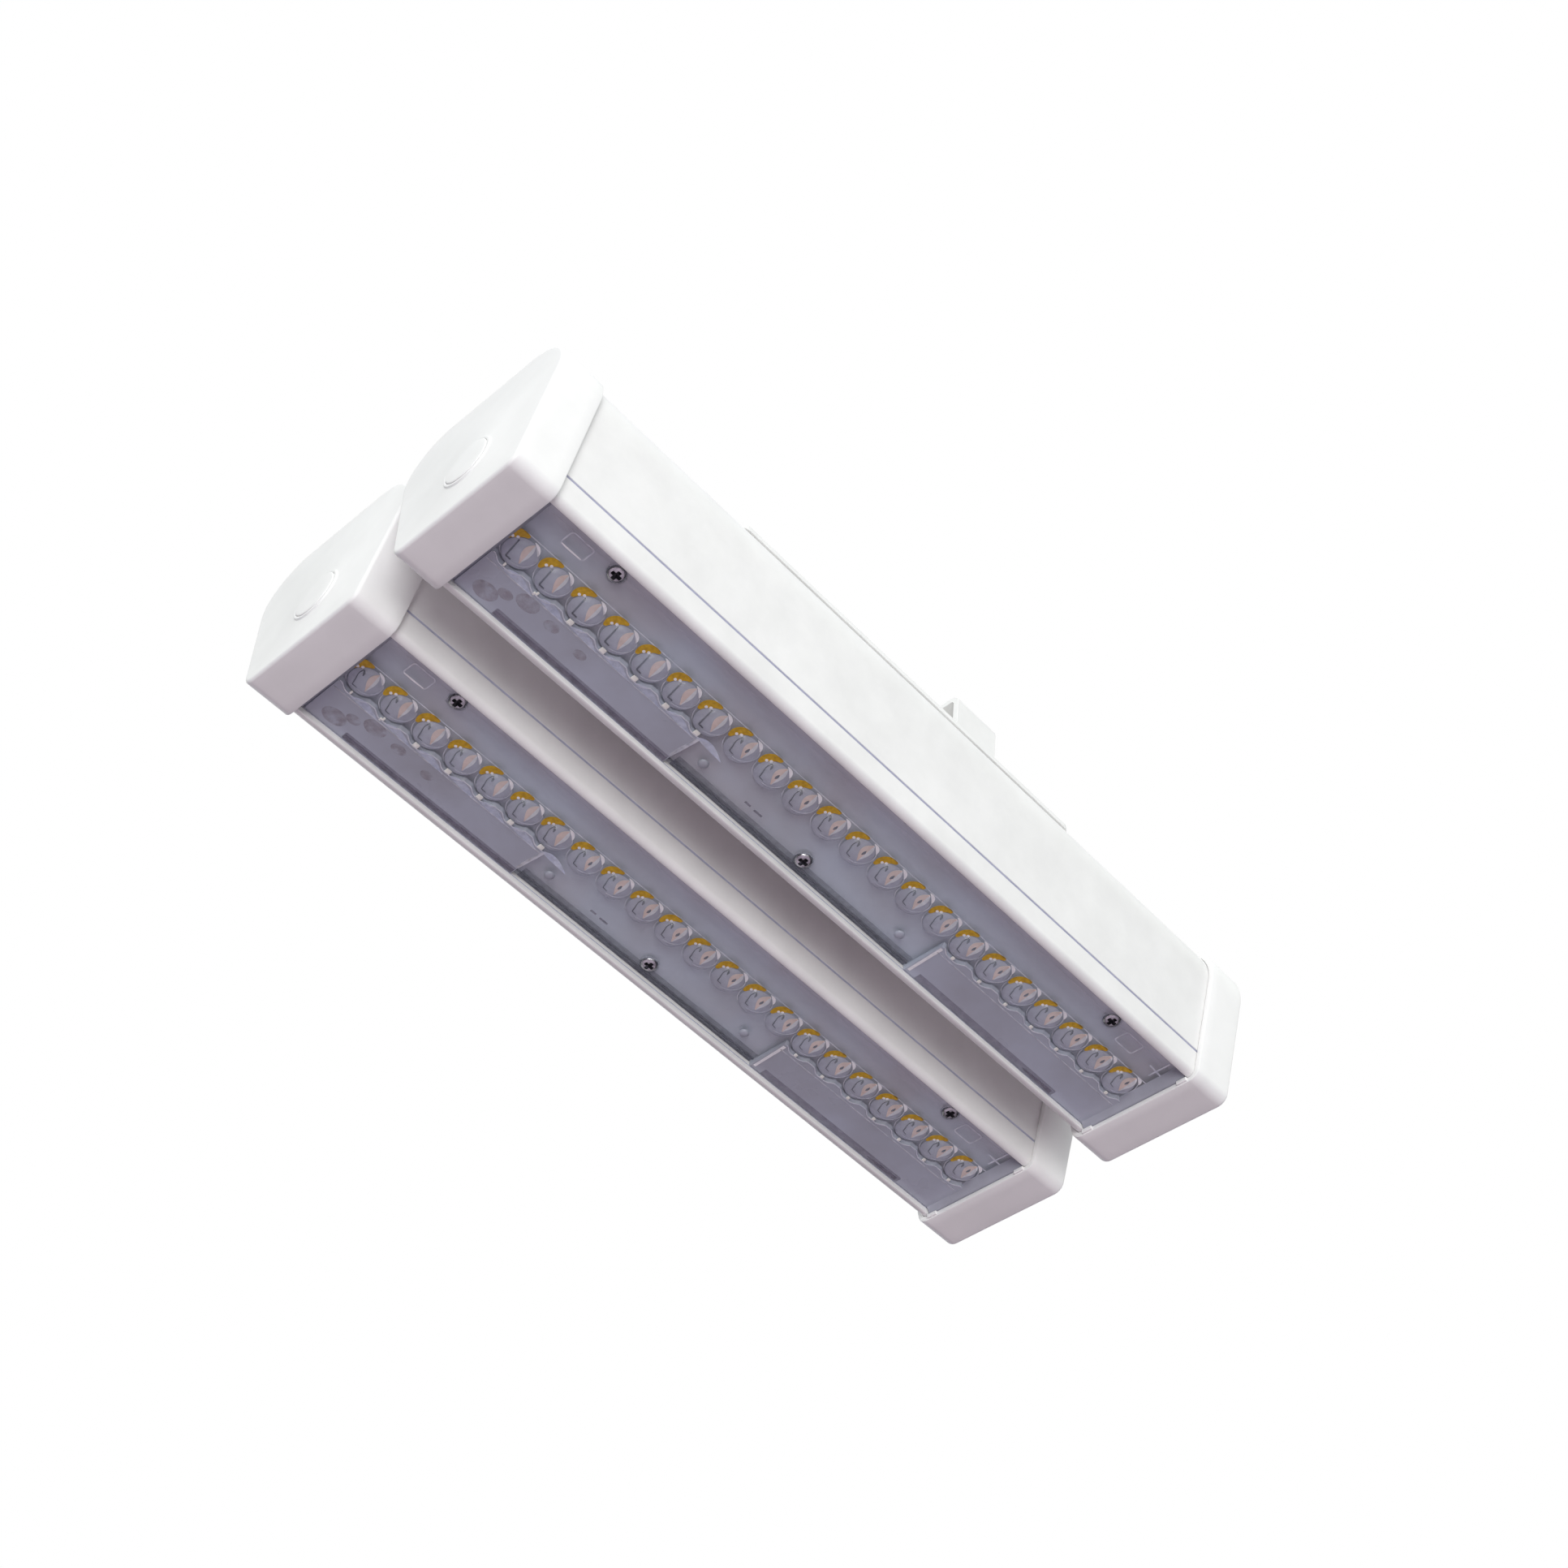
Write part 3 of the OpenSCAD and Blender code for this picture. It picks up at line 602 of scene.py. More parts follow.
def plug():
    """Round plug of the near end cap with its spigot."""
    outer = -HALF
    front = box_mm("cap_plugs_a")[0].x - ORIGIN["a"].x
    spigot = [(outer + 1.8, 4.2), (outer + 1.8, 4.8), (outer + 1.6, 4.9), (outer + 0.02, 4.9)]
    head = [
        (outer + 0.02, PLUG_R - 0.1), (outer - 0.05, PLUG_R), (front + 0.42, PLUG_R),
        (front + 0.2, PLUG_R - 0.07), (front + 0.06, PLUG_R - 0.24), (front, PLUG_R - 0.5),
    ]
    face = [(front, 4.0), (front, 1.5), (front, 0.05)]
    profile = spigot + head + face
    shape = Shape()
    shape.loft(turned(profile, 72, (0, 0, PLUG_Z), "X"), caps=(True, True))
    shape.faces = [f[::-1] for f in shape.faces]
    return shape


# ---------------------------------------------------------------- housing


def wound(triangles, flat, clockwise):
    """The triangles over the flat points, each in the order that runs clockwise or the other way."""
    faces = []
    for tri in triangles:
        a, b, c = (flat[i] for i in tri)
        turn = (b[0] - a[0]) * (c[1] - a[1]) - (b[1] - a[1]) * (c[0] - a[0])
        faces.append(list(tri) if (turn < 0) == clockwise else list(tri)[::-1])
    return faces


def housing():
    """Extruded profile: outer skin with its lips and groove, window channel, chamber and screw boss."""
    right = outline_right(WALL, 0.7)
    lip_r = 0.3
    channel = [
        (0.0, WEB_LOW),
        (WINDOW_HALF - 0.25, WEB_LOW),
        (WINDOW_HALF, WEB_LOW - 0.25),
        (WINDOW_HALF, 4.35),
        (WINDOW_HALF + 0.3, 4.3),
        (WINDOW_HALF + 0.3, 4.0),
        (WINDOW_HALF, 3.95),
        (WINDOW_HALF, WALL + lip_r),
        (WINDOW_HALF + lip_r * 0.3, WALL + lip_r * 0.3),
        (WINDOW_HALF + lip_r, WALL),
    ]
    start = [p for p in right if p[0] > WINDOW_HALF + lip_r + 0.05]
    half = channel + start
    outer = half + [(0.0, half[-1][1])] + [(-y, z) for y, z in half[1:]][::-1]

    def in_groove(i):
        (y0, z0), (y1, z1) = outer[i], outer[(i + 1) % len(outer)]
        level = (z0 + z1) / 2
        outside = GROOVE_LOW < level < GROOVE_HIGH and min(abs(y0), abs(y1)) > 22
        inside = 3.9 < level < 4.4 and max(abs(y0), abs(y1)) < 21.2
        return 1 if outside or inside else 0

    inner_wall = WALL + 2
    up = [p for p in outline_right(inner_wall) if p[1] > WEB_HIGH + 0.6]

    def wall_y(z):
        return half_width(inner_wall, z)

    rail_y = wall_y(28) - 2.6
    ribs = []
    for z0, z1 in ((26.4, 28.0), (29.3, 30.9)):
        ribs += [(wall_y(z0), z0), (rail_y + 0.15, z0), (rail_y, z0 + 0.15)]
        ribs += [(rail_y, z1 - 0.15), (rail_y + 0.15, z1), (wall_y(z1), z1)]
    crown_z = 42
    side = sorted([p for p in up if p[1] < crown_z], key=lambda p: p[1])
    loop_right = [p for p in side if p[1] < 26] + ribs + [p for p in side if p[1] > 31.2]
    loop_right += [p for p in up if p[1] >= crown_z]
    stem, fillet = 1.2, 0.4
    boss = [(stem, WEB_HIGH), (stem, PLUG_Z - 3.816)]
    boss += arc((0, PLUG_Z), 4.0, -72.5, 90, 16)
    corner = [(wall_y(WEB_HIGH) - fillet, WEB_HIGH), (wall_y(WEB_HIGH + fillet), WEB_HIGH + fillet)]
    chamber_right = [(stem, WEB_HIGH)] + corner + loop_right
    chamber = (
        chamber_right
        + [(0.0, loop_right[-1][1])]
        + [(-y, z) for y, z in chamber_right][::-1]
        + [(-y, z) for y, z in boss[1:]]
        + boss[1:-1][::-1]
    )
    bore = arc((0, PLUG_Z), 2.0, 0, 360, 32)[:-1]

    shape = Shape()
    xs = [-HOUSING_HALF + 2 * HOUSING_HALF * i / 12 for i in range(13)]
    shape.loft([at_x(x, outer) for x in xs], group_of=in_groove)
    for loop in (chamber, bore):
        shape.loft([at_x(x, loop)[::-1] for x in xs])
    loops = [outer, chamber[::-1], bore[::-1]]
    flat = [p for loop in loops for p in loop]
    triangles = tessellate_polygon([[Vector((y, z, 0)) for y, z in loop] for loop in loops])
    for x, clockwise in ((-HOUSING_HALF, True), (HOUSING_HALF, False)):
        shape.add([(x, y, z) for y, z in flat], wound(triangles, flat, clockwise))
    return shape


# ---------------------------------------------------------------- light engine


def circle(cx, cy, radius, count):
    angles = [2 * math.pi * i / count for i in range(count)]
    return [(cx + radius * math.cos(t), cy + radius * math.sin(t)) for t in angles]


def flat_with_holes(shape, outline_points, holes, z, facing_down):
    """Flat face at level z with round holes in it."""
    loops = [outline_points] + holes
    flat = [p for loop in loops for p in loop]
    triangles = tessellate_polygon([[Vector((x, y, 0)) for x, y in loop] for loop in loops])
    shape.add([(x, y, z) for x, y in flat], wound(triangles, flat, facing_down))


def lens_plate():
    """Moulded lens plate: a skin with domes and a pocket for each screw, and a ramp at each end."""
    shape = Shape()
    half_x, half_y = LENS_HALF_X, LENS_HALF_Y
    top = LENS_HI.z
    edge = 0.25
    outer = rounded_rectangle((-half_x + edge, -half_y + edge), (half_x - edge, half_y - edge), 0.5, 4)
    rim = rounded_rectangle((-half_x, -half_y), (half_x, half_y), 0.7, 4)
    domes = [circle(x, 0, DOME_R, 48) for x in LEDS]
    pockets = [circle(x, y, 3.3, 32) for x, y in LENS_SCREWS]
    bores = [circle(x, y, 1.7, 32) for x, y in LENS_SCREWS]
    flat_with_holes(shape, outer, domes + pockets, LENS_Z, True)
    flat_with_holes(shape, outer, bores, top, False)
    levels = [(outer, LENS_Z), (rim, LENS_Z + edge), (rim, top - edge), (outer, top)]
    shape.loft([[(x, y, z) for x, y in ring] for ring, z in levels])
    for pocket, bore in zip(pockets, bores):
        sleeve = [(pocket, LENS_Z), (pocket, SCREW_SEAT), (bore, SCREW_SEAT), (bore, top)]
        shape.loft([[(x, y, z) for x, y in ring][::-1] for ring, z in sleeve])
    steep = math.asin(DOME_R / DOME_SPHERE)
    for x in LEDS:
        profile = []
        for i in range(13):
            t = steep * (1 - i / 12.5)
            profile.append((DOME_CENTRE - DOME_SPHERE * math.cos(t), DOME_SPHERE * math.sin(t)))
        profile[0] = (LENS_Z, DOME_R)
        shape.loft([r[::-1] for r in turned(profile, 48, (x, 0, 0))], caps=(False, True))
    opening, end, root, low = HALF - CAP_LENGTH, half_x - 0.5, LENS_Z + 0.1, 2.15
    ramp = [(opening - 2.6, root), (opening - 0.4, low + 0.15), (opening, low), (end, low), (end, root)]
    for side in (-1, 1):
        rings = [[(side * x, y, z) for x, z in ramp] for y in (0.3 - half_y, half_y - 0.3)]
        shape.loft(rings[::side], caps=(True, True), group=1)
    return shape


def near_edge(x):
    """How close to the middle line a rail's edge comes at x: it runs round the domes."""
    reach, nearest, farthest = 6.3, 4.2, 6.0
    d = min(abs(x - led) for led in LEDS)
    return max(min(math.sqrt(max(reach * reach - d * d, 0)), farthest), nearest)


def scalloped_rail(x0, x1, far_y):
    """Raised rail along the +Y side of the domes. Its near edge follows the domes."""
    steps = int((x1 - x0) / 0.65)
    near = [x0 + (x1 - x0) * i / steps for i in range(steps + 1)]
    root = [(LENS_Z + 0.2, 0.9, 0.0), (LENS_Z - 0.2, 0.7, 0.0)]
    crest = [(RAIL_Z + 0.25, 0.2, 0.05), (RAIL_Z, 0.0, 0.3)]
    rings = []
    for z, grow, back in root + crest:
        ring = [(x, near_edge(x) + 0.5 - grow, z) for x in near]
        ring += [(x1 - back, far_y, z), (x0 + back, far_y, z)]
        rings.append(ring)
    shape = Shape()
    shape.loft([r[::-1] for r in rings], caps=(True, True))
    return shape


def lens_rails():
    """Both rails, and the two round studs in the gap between them."""
    shape = Shape()
    for x0, x1 in (NEAR_RAIL, FAR_RAIL):
        shape.merge(scalloped_rail(x0, x1, LENS_HALF_Y - 0.1))
    for x in (-47.5, 40):
        profile = [(LENS_Z + 0.1, 1.7), (LENS_Z - 0.3, 1.6), (LENS_Z - 0.6, 1.2), (LENS_Z - 0.7, 0.5)]
        shape.loft([r[::-1] for r in turned(profile, 24, (x, 12.6, 0))], caps=(True, True))
    return shape


def spline(a, b, c, d, t):
    """Catmull-Rom value between b and c, at the share t of the way."""
    slope, bend, twist = c - a, 2 * a - 5 * b + 4 * c - d, 3 * b - a - 3 * c + d
    return 0.5 * (2 * b + slope * t + bend * t * t + twist * t**3)


def smooth_path(points, count, closed=False):
    """Catmull-Rom curve through the points."""
    points = list(points)
    ends = [points[-1]] + points + points[:2] if closed else [points[0]] + points + [points[-1]]
    spans = len(points) if closed else len(points) - 1
    out = []
    for k in range(count if closed else count + 1):
        s = k / count * spans
        i = min(int(s), spans - 1)
        t = s - i
        out.append(tuple(spline(*numbers, t) for numbers in zip(*ends[i : i + 4])))
    return out


def patch(shape, x, points, count, z=LENS_Z - 0.1, thick=0.1, group=0):
    """Thin smooth-edged patch lying in the lens at x, given by the points of its outline."""
    ring = smooth_path(points, count, closed=True)
    area = sum(a[0] * b[1] - b[0] * a[1] for a, b in zip(ring, ring[1:] + ring[:1]))
    if area < 0:
        ring = ring[::-1]
    rings = [[(x + u, v, level) for u, v in ring] for level in (z, z + thick)]
    shape.loft(rings, caps=(True, True), group=group)


def strip(shape, x, path, widths, z=LENS_Z - 0.1, thick=0.1, group=0):
    """Thin strip in the lens along a path of (u, v), as wide at each point as given."""
    rings = []
    for i, (u, v) in enumerate(path):
        a, b = path[max(i - 1, 0)], path[min(i + 1, len(path) - 1)]
        du, dv = b[0] - a[0], b[1] - a[1]
        size = math.hypot(du, dv) or 1
        nu, nv = -dv / size * widths[i] / 2, du / size * widths[i] / 2
        left, right = (x + u - nu, v - nv), (x + u + nu, v + nv)
        rings.append([(*left, z), (*right, z), (*right, z + thick), (*left, z + thick)])
    shape.loft([r[::-1] for r in rings], caps=(True, True), group=group)


def between(near, far, t):
    """Measures part of the way from those at the near end of the row to those at its far end."""
    return [a + (b - a) * t for a, b in zip(near, far)]


def crescent(u, v, radius, start, end, narrow, wide):
    """Outline of a band along an arc about (u, v), wide in the middle and narrow at both ends."""
    outer, inner = [], []
    for i in range(8):
        angle = math.radians(start + (end - start) * i / 7)
        half = (narrow + (wide - narrow) * math.sin(math.pi * i / 7)) / 2
        outer.append((u + (radius + half) * math.cos(angle), v + (radius + half) * math.sin(angle)))
        inner.append((u + (radius - half) * math.cos(angle), v + (radius - half) * math.sin(angle)))
    return outer + inner[::-1]


def leaf(tail_u, tail_v, tip_u, tip_v, left, right):
    """Outline of a leaf, which bulges to the left and right of the line from its tail to its tip."""
    du, dv = tip_u - tail_u, tip_v - tail_v
    long = math.hypot(du, dv)
    points = []
    for bulge, steps in ((left, range(7)), (-right, range(5, 0, -1))):
        for i in steps:
            share = i / 6
            reach = bulge * math.sin(math.pi * share**0.75) / long
            points.append((tail_u + du * share - dv * reach, tail_v + dv * share + du * reach))
    return points


# What crescent() and leaf() take, the centre, radius and angles of the streaks, the two glints' places
# and the three corners of the L, each at the near and the far end of the row, from the dome's middle.
CRESCENT = ((-2.2, -1.8, 4.2, 167, 274, 0.9, 3.1), (-0.9, -1.6, 4.7, 170, 265, 1.0, 2.4))
LEAF = ((0.9, -5.3, 2.1, 2.8, 1.75, 1.1), (1.9, -5.8, 3.0, 2.3, 2.5, 1.7))
# STREAK and GLINTS place painted highlights: a bright streak along each dome's rim and two glints.
STREAK = ((-0.6, -1.4, 4.7, -80, -21), (1.9, -3.5, 2.9, -94, -18))
GLINTS = ((-5.5, -2.95, -4.2, -3.75), (-4.4, -3.1, -3.5, -3.8))
ELL = ((-3.3, -3.3, -2.2, 3.5, -0.4, 3.55), (-2.4, -3.5, -1.2, 2.3, 0.6, 2.7))


def row_share(x):
    """0 at the near end of the row, 1 at its far end."""
    return (x - LEDS[0]) / (LEDS[-1] - LEDS[0])


def led_arcs():
    """Yellow arc that each source shows through its dome's near side."""
    shape = Shape()
    for x in LEDS:
        patch(shape, x, crescent(*between(*CRESCENT, row_share(x))), 42)
    return shape


def lens_painted_highlights():
    """Painted highlights in the moulding: rim streaks, glints, the far rail's end and one pad's edge."""
    shape = Shape()
    widths = [0.15, 0.5, 0.85, 1.05, 1.15, 1.1, 0.9, 0.6, 0.2]
    for x in LEDS:
        t = row_share(x)
        u, v, radius, start, end = between(*STREAK, t)
        strip(shape, x, arc((u, v), radius, start, end, 8), widths, LENS_Z - 0.2)
        glints = between(*GLINTS, t)
        for u, v in (glints[:2], glints[2:]):
            patch(shape, x, circle(u, v, 0.5, 6), 12, LENS_Z - 0.22)
    strip(shape, 0, [(51.9, 5.4), (52.1, 12), (52.3, 19.4)], [1.1, 1.0, 1.0], RAIL_Z - 0.1)
    strip(shape, 0, [(-128.6, -11.7), (-125, -11.6), (-121.2, -11.7)], [0.35, 0.6, 0.3], LENS_Z - 0.2)
    return shape


def in_rail(x):
    return any(x0 < x < x1 for x0, x1 in (NEAR_RAIL, FAR_RAIL))


def square_block(x, y, half_x, half_y, corner):
    """A small square block that shows a little under its rail, drawn for the posts and for the painted
    glints.
    """
    low = (x - half_x, y - half_y, RAIL_Z - 0.06)
    high = (x + half_x, y + half_y, RAIL_Z + 0.4)
    return soft_box(low, high, corner, 0.1)


def lens_posts_and_glints():
    """Off-white posts of the rails, one beside each dome, seen through the moulding, and three small painted
    glints near the first two domes.
    """
    shape = Shape()
    for x in LEDS[2:]:
        if in_rail(x):
            u = x - 0.8 + 1.1 * row_share(x)
            half = 0.95 if x < 0 else 0.6
            shape.merge(square_block(u, 5.45, half, half, 0.3))
    # Painted glints: small off-white blocks near the first two domes.
    for x, y in ((LEDS[0] - 0.7, 5.3), (LEDS[1] - 0.7, 5.4), (LEDS[1] - 1.4, 6.1)):
        shape.merge(square_block(x, y, 0.35, 0.6, 0.2))
    return shape


def lens_facet_highlights():
    """Painted highlights: bluish lens-shaped patches on the rails' facets between their posts."""
    shape = Shape()
    for x in LEDS[:-1]:
        if in_rail(x) and x < -PITCH:
            u = x - 1.0 + 1.3 * row_share(x)
            patch(shape, u, leaf(1.2, 6.4, 12.5, 7.4, 0.2, 2.2), 40, RAIL_Z - 0.05, 0.04)
    return shape


def lens_edge_highlights():
    """Faint painted highlights on edges in the moulding: dome outlines, a line along the row, pads, rails and
    a plus sign.
    """
    shape = Shape()
    for x in LEDS:
        t = row_share(x)
        rim = arc((0.3 + 0.3 * t, -0.7 - 0.3 * t), 4.7 + 0.4 * t, -33 - 5 * t, 92, 14)
        strip(shape, x, rim, [0.28] * len(rim))
        left = arc((-1.0, -0.7), 5.45, 177, 119, 8)
        strip(shape, x, left, [0.12, 0.16, 0.2, 0.22, 0.22, 0.2, 0.18, 0.14, 0.1])
    strip(shape, 0, [(-138, -6.75), (-70, -6.75), (0, -6.75), (70, -6.65), (139, -6.6)], [0.3] * 5)
    for x, y in ((-124.8, -14.1), (120.8, -13.9)):
        ring = rounded_rectangle((x - 4.2, y - 2.7), (x + 4.2, y + 2.7), 1.0, 4)
        strip(shape, 0, ring + ring[:1], [0.45] * (len(ring) + 1))
    for x0, x1 in ((-139, -56), (52, 139)):
        count = int((x1 - x0) / 0.7)
        xs = [x0 + (x1 - x0) * i / count for i in range(count + 1)]
        path = [(x, near_edge(x) + 0.1) for x in xs]
        strip(shape, 0, path, [0.4] * len(path), RAIL_Z - 0.1)
        strip(shape, 0, [(x0, 7.3), (x1, 7.3)], [0.35, 0.35], RAIL_Z - 0.1)
    strip(shape, 0, [(-55.6, 6.0), (-56.2, 11.5), (-56.7, 17.2)], [1.0, 1.2, 0.9], RAIL_Z - 0.1)
    strip(shape, 0, [(133, -12.9), (139.2, -12.4)], [0.6, 0.6])
    strip(shape, 0, [(136.3, -9.8), (136.4, -18.2)], [0.6, 0.6], LENS_Z - 0.25)
    return shape


def lens_leaves():
    """Bowls behind the domes, which hide the sources from the side, and the pale reflections in them."""
    shape = Shape()
    for x in LEDS:
        t = row_share(x)
        patch(shape, x, circle(0, 0, 5.35, 12), 40, LENS_Z + 0.12, 0.15, 2)
        tail_u, tail_v, tip_u, tip_v, left, right = between(*LEAF, t)
        patch(shape, x, leaf(tail_u, tail_v, tip_u, tip_v, left, right), 30, LENS_Z - 0.08, 0.06)
        patch(shape, x, leaf(tail_u, tail_v, tip_u, tip_v, left, 0.1), 30, LENS_Z - 0.12, 0.03, 1)
    return shape


def lens_shadows(side):
    """Dark marks in the domes: an angled line in each, and a small spot past the near third."""
    shape = Shape()
    for x in LEDS:
        t = row_share(x)
        flat = between(*ELL, t)
        ell = list(zip(flat[::2], flat[1::2]))
        if side == "a" and t < 0.3:
            strip(shape, x, [ell[0], ell[1]], [0.42, 0.5])
            strip(shape, x, [ell[1], ell[2]], [0.5, 0.42])
        else:
            (u0, v0), (u1, v1), foot = ell
            bow = smooth_path([(u0, v0), (u0 - 0.25, v0 * 0.35), (u1 - 0.55, v1 * 0.4), (u1, v1)], 8)
            strip(shape, x, bow, [0.2, 0.3, 0.3, 0.25, 0.3, 0.35, 0.4, 0.35, 0.2])
            hook = [(u0 + 0.15, v0 + 0.1), (u0 + 0.9, v0 + 1.1), (u0 + 1.25, v0 + 2.1)]
            strip(shape, x, hook, [0.35, 0.75, 0.3])
            strip(shape, x, [(u1, v1), foot], [0.25, 0.15])
        if t > 0.3:
            spot = [(1.4 + t * 0.3, 0.6), (1.0 + t * 0.3, -0.4), (1.3 + t * 0.3, -1.6), (1.9 + t * 0.3, -0.4)]
            patch(shape, x, [(u, v - 1.6 * t) for u, v in spot], 14, LENS_Z - 0.17, 0.03)
    return shape


def lens_wall_shadows_and_marks():
    """Painted shadow in soft dark bands beside the wall, painted shade along the wall between the rails,
    short dark dashes, a dark notch at the far end and faint blotches.
    """
    shape = Shape()
    wall_y = LENS_HALF_Y - 0.15
    band_y, core_y = wall_y - 1.4, wall_y - 1.1
    band_z, core_z = RAIL_Z - 0.05, RAIL_Z - 0.12
    # Painted shadow: soft dark bands in the gap beside the wall, along both rails.
    strip(shape, 0, [(x, band_y) for x in (-125.2, -124.8, -56.5)], [2.0, 2.7, 2.7], band_z)
    strip(shape, 0, [(x, core_y) for x in (-124.9, -56.5)], [1.5, 1.5], core_z)
    strip(shape, 0, [(x, band_y) for x in (56, 123.1, 123.5)], [2.7, 2.7, 2.0], band_z)
    strip(shape, 0, [(x, core_y) for x in (108, 112, 122.3)], [0.3, 1.0, 1.5], core_z)
    # Painted shade: faint dark strips along the wall between the rails.
    for deep, width in ((0.05, 4.4), (0.1, 2.6)):
        wall_shade = [(x, wall_y - width / 2) for x in (-54, 50.5)]
        strip(shape, 0, wall_shade, [width, width], LENS_Z - deep, 0.03, 1)
    for x, y, long in ((-28, 13.0, 2.4), (-23.4, 13.2, 3.4)):
        strip(shape, 0, [(x - long / 2, y), (x + long / 2, y)], [0.7, 0.7])
    patch(shape, 0, [(141.0, -2.4), (144.0, -2.6), (144.5, 1.6), (141.6, 1.8)], 16)
    blotches = [(-131.5, 16.0, 3.0), (-120.8, 9.9, 2.8), (-111, 10.6, 1.9), (-99, 11.5, 1.6)]
    blotches.append((-127, 12.5, 1.8))
    for x, y, size in blotches:
        spot = [(x + 1.4 * u, y + v) for u, v in circle(0, 0, size, 8)]
        patch(shape, 0, spot, 24, RAIL_Z - 0.03, 0.01, 2)
    return shape


def led_board():
    """Plain circuit board behind the lens plate."""
    return soft_box(BOARD_LO - ORIGIN["a"], BOARD_HI - ORIGIN["a"], 1.0, 0.12)


def led_packages():
    """The sources: white bodies with a patch of phosphor below."""
    shape = Shape()
    z = BOARD_LO.z
    for x in LEDS:
        shape.merge(soft_box((x - 2.5, -2.5, z - 0.66), (x + 2.5, 2.5, z + 0.05), 0.3, 0.12))
        start = len(shape.groups)
        shape.merge(soft_box((x - 1.9, -1.9, z - 0.7), (x + 1.9, 1.9, z - 0.5), 0.6, 0.08))
        shape.groups[start:] = [1] * (len(shape.groups) - start)
    return shape


# ---------------------------------------------------------------- assembly of the pieces

CAP = end_cap(False)
CLIPPED_CAP = end_cap(True)
PLUG = plug()
HOUSING = housing()
LENS = lens_plate()
RAILS = lens_rails()
PAINTED_HIGHLIGHTS = lens_painted_highlights()
EDGE_HIGHLIGHTS = lens_edge_highlights()
POSTS_AND_GLINTS = lens_posts_and_glints()
FACET_HIGHLIGHTS = lens_facet_highlights()
LEAVES = lens_leaves()
WALL_SHADOWS_AND_MARKS = lens_wall_shadows_and_marks()
ARCS = led_arcs()
BOARD = led_board()
PACKAGES = led_packages()
PLUGS = Shape()
PLUGS.merge(PLUG)
PLUGS.merge(PLUG.about_face())
SCREWS = Shape()
for x, y in LENS_SCREWS:
    SCREWS.merge(pan_head((x, y), SCREW_SEAT, 1.3, 2.9))


def build_module(side):
    """Every drawn piece of one module."""

    def piece(kind, shape, slot, node="", **looks):
        stands_for = [f"{node}_{side}"] if node else ()
        put(f"{kind}_{side}", shape, "module_" + side, slot, ORIGIN[side], stands_for, **looks)

    piece("end_cap_near", CAP, "white_plastic", "near_cap")
    piece("end_cap_far", CLIPPED_CAP.about_face(), "white_plastic", "far_cap")
    piece("end_plugs", PLUGS, "white_plastic", "cap_plugs")
    piece("profile", HOUSING, "white_paint", "housing", others=["groove_shade"])
    piece("lens", LENS, "clear_lens", "lens_plate", others=["lens_end"], sharp=40)
    piece("lens_rails", RAILS, "clear_lens", material="rail_plastic", sharp=40)
    piece("lens_posts_and_glints", POSTS_AND_GLINTS, "clear_lens", material="post_and_glint_white")
    piece("lens_facet_highlights", FACET_HIGHLIGHTS, "clear_lens", material="rail_facet_highlight")
    piece("lens_painted_highlights", PAINTED_HIGHLIGHTS, "clear_lens", material="lens_highlight", sharp=60)
    piece("lens_edge_highlights", EDGE_HIGHLIGHTS, "clear_lens", material="lens_edge_highlights", sharp=60)
    piece("lens_leaves", LEAVES, "clear_lens", material="lens_leaf", others=["lens_pink", "lens_bowl"])
    piece("lens_shadows", lens_shadows(side), "clear_lens", material="lens_shadow")
    piece("lens_wall_shadows_and_marks", WALL_SHADOWS_AND_MARKS, "clear_lens", material="lens_gap_shadow_and_marks", others=["lens_painted_wall_shade", "lens_brown"])
    piece("led_arcs", ARCS, "phosphor")
    piece("led_bodies", PACKAGES, "phosphor", "led_packages", material="white_plastic", others=["phosphor"])
    piece("board", BOARD, "board_mask", "led_board")
    piece("lens_fixings", SCREWS, "screw_steel", "lens_screws", others=["recess_painted_shade"], sharp=40)


for side in "ab":
    build_module(side)

NODE_FINISH = {
    "yoke": "white_paint",
    "carrier_plate": "white_paint",
    "pivot_studs": "zinc_steel",
    "pivot_nuts": "zinc_steel",
    "pivot_washers": "black_nylon",
    "end_gaskets": "black_rubber",
    "cap_screws": "screw_steel",
    "lens_seal": "black_rubber",
    "gear_tray": "zinc_steel",
    "tray_screws": "screw_steel",
    "driver_case": "white_plastic",
    "driver_lid": "white_plastic",
    "driver_board": "green_board",
    "terminal_block": "white_plastic",
    "dc_leads": "lead_sleeve",
    "ac_leads": "lead_sleeve",
    "gland_body": "gland_nylon",
    "gland_nut": "gland_nylon",
    "gland_seal": "black_rubber",
    "gland_locknut": "gland_nylon",
    "mount_bolts": "zinc_steel",
    "mount_washers": "zinc_steel",
    "nut_bars": "zinc_steel",
}
EDGE_ROUNDING = {
    "yoke": 0.45,
    "carrier_plate": 0.45,
    "pivot_studs": 0.2,
    "pivot_nuts": 0.3,
    "pivot_washers": 0.15,
    "gear_tray": 0.15,
    "driver_case": 0.6,
    "driver_lid": 0.4,
    "terminal_block": 0.2,
    "gland_body": 0.3,
    "gland_nut": 0.35,
    "gland_locknut": 0.25,
    "mount_bolts": 0.25,
    "mount_washers": 0.15,
    "nut_bars": 0.2,
}


def soften(node, edge):
    """Rounds off the sharp edges of a CAD node as it is drawn, and leaves its mesh as it is."""
    weld = node.modifiers.new("weld", "WELD")
    weld.merge_threshold = 0.001 * MM
    flat = node.modifiers.new("flat_faces", "DECIMATE")
    flat.decimate_type = "DISSOLVE"
    flat.angle_limit = math.radians(0.5)
    bevel = node.modifiers.new("round_edges", "BEVEL")
    bevel.width = edge * MM
    bevel.segments = 3
    bevel.limit_method = "ANGLE"
    bevel.angle_limit = math.radians(35)


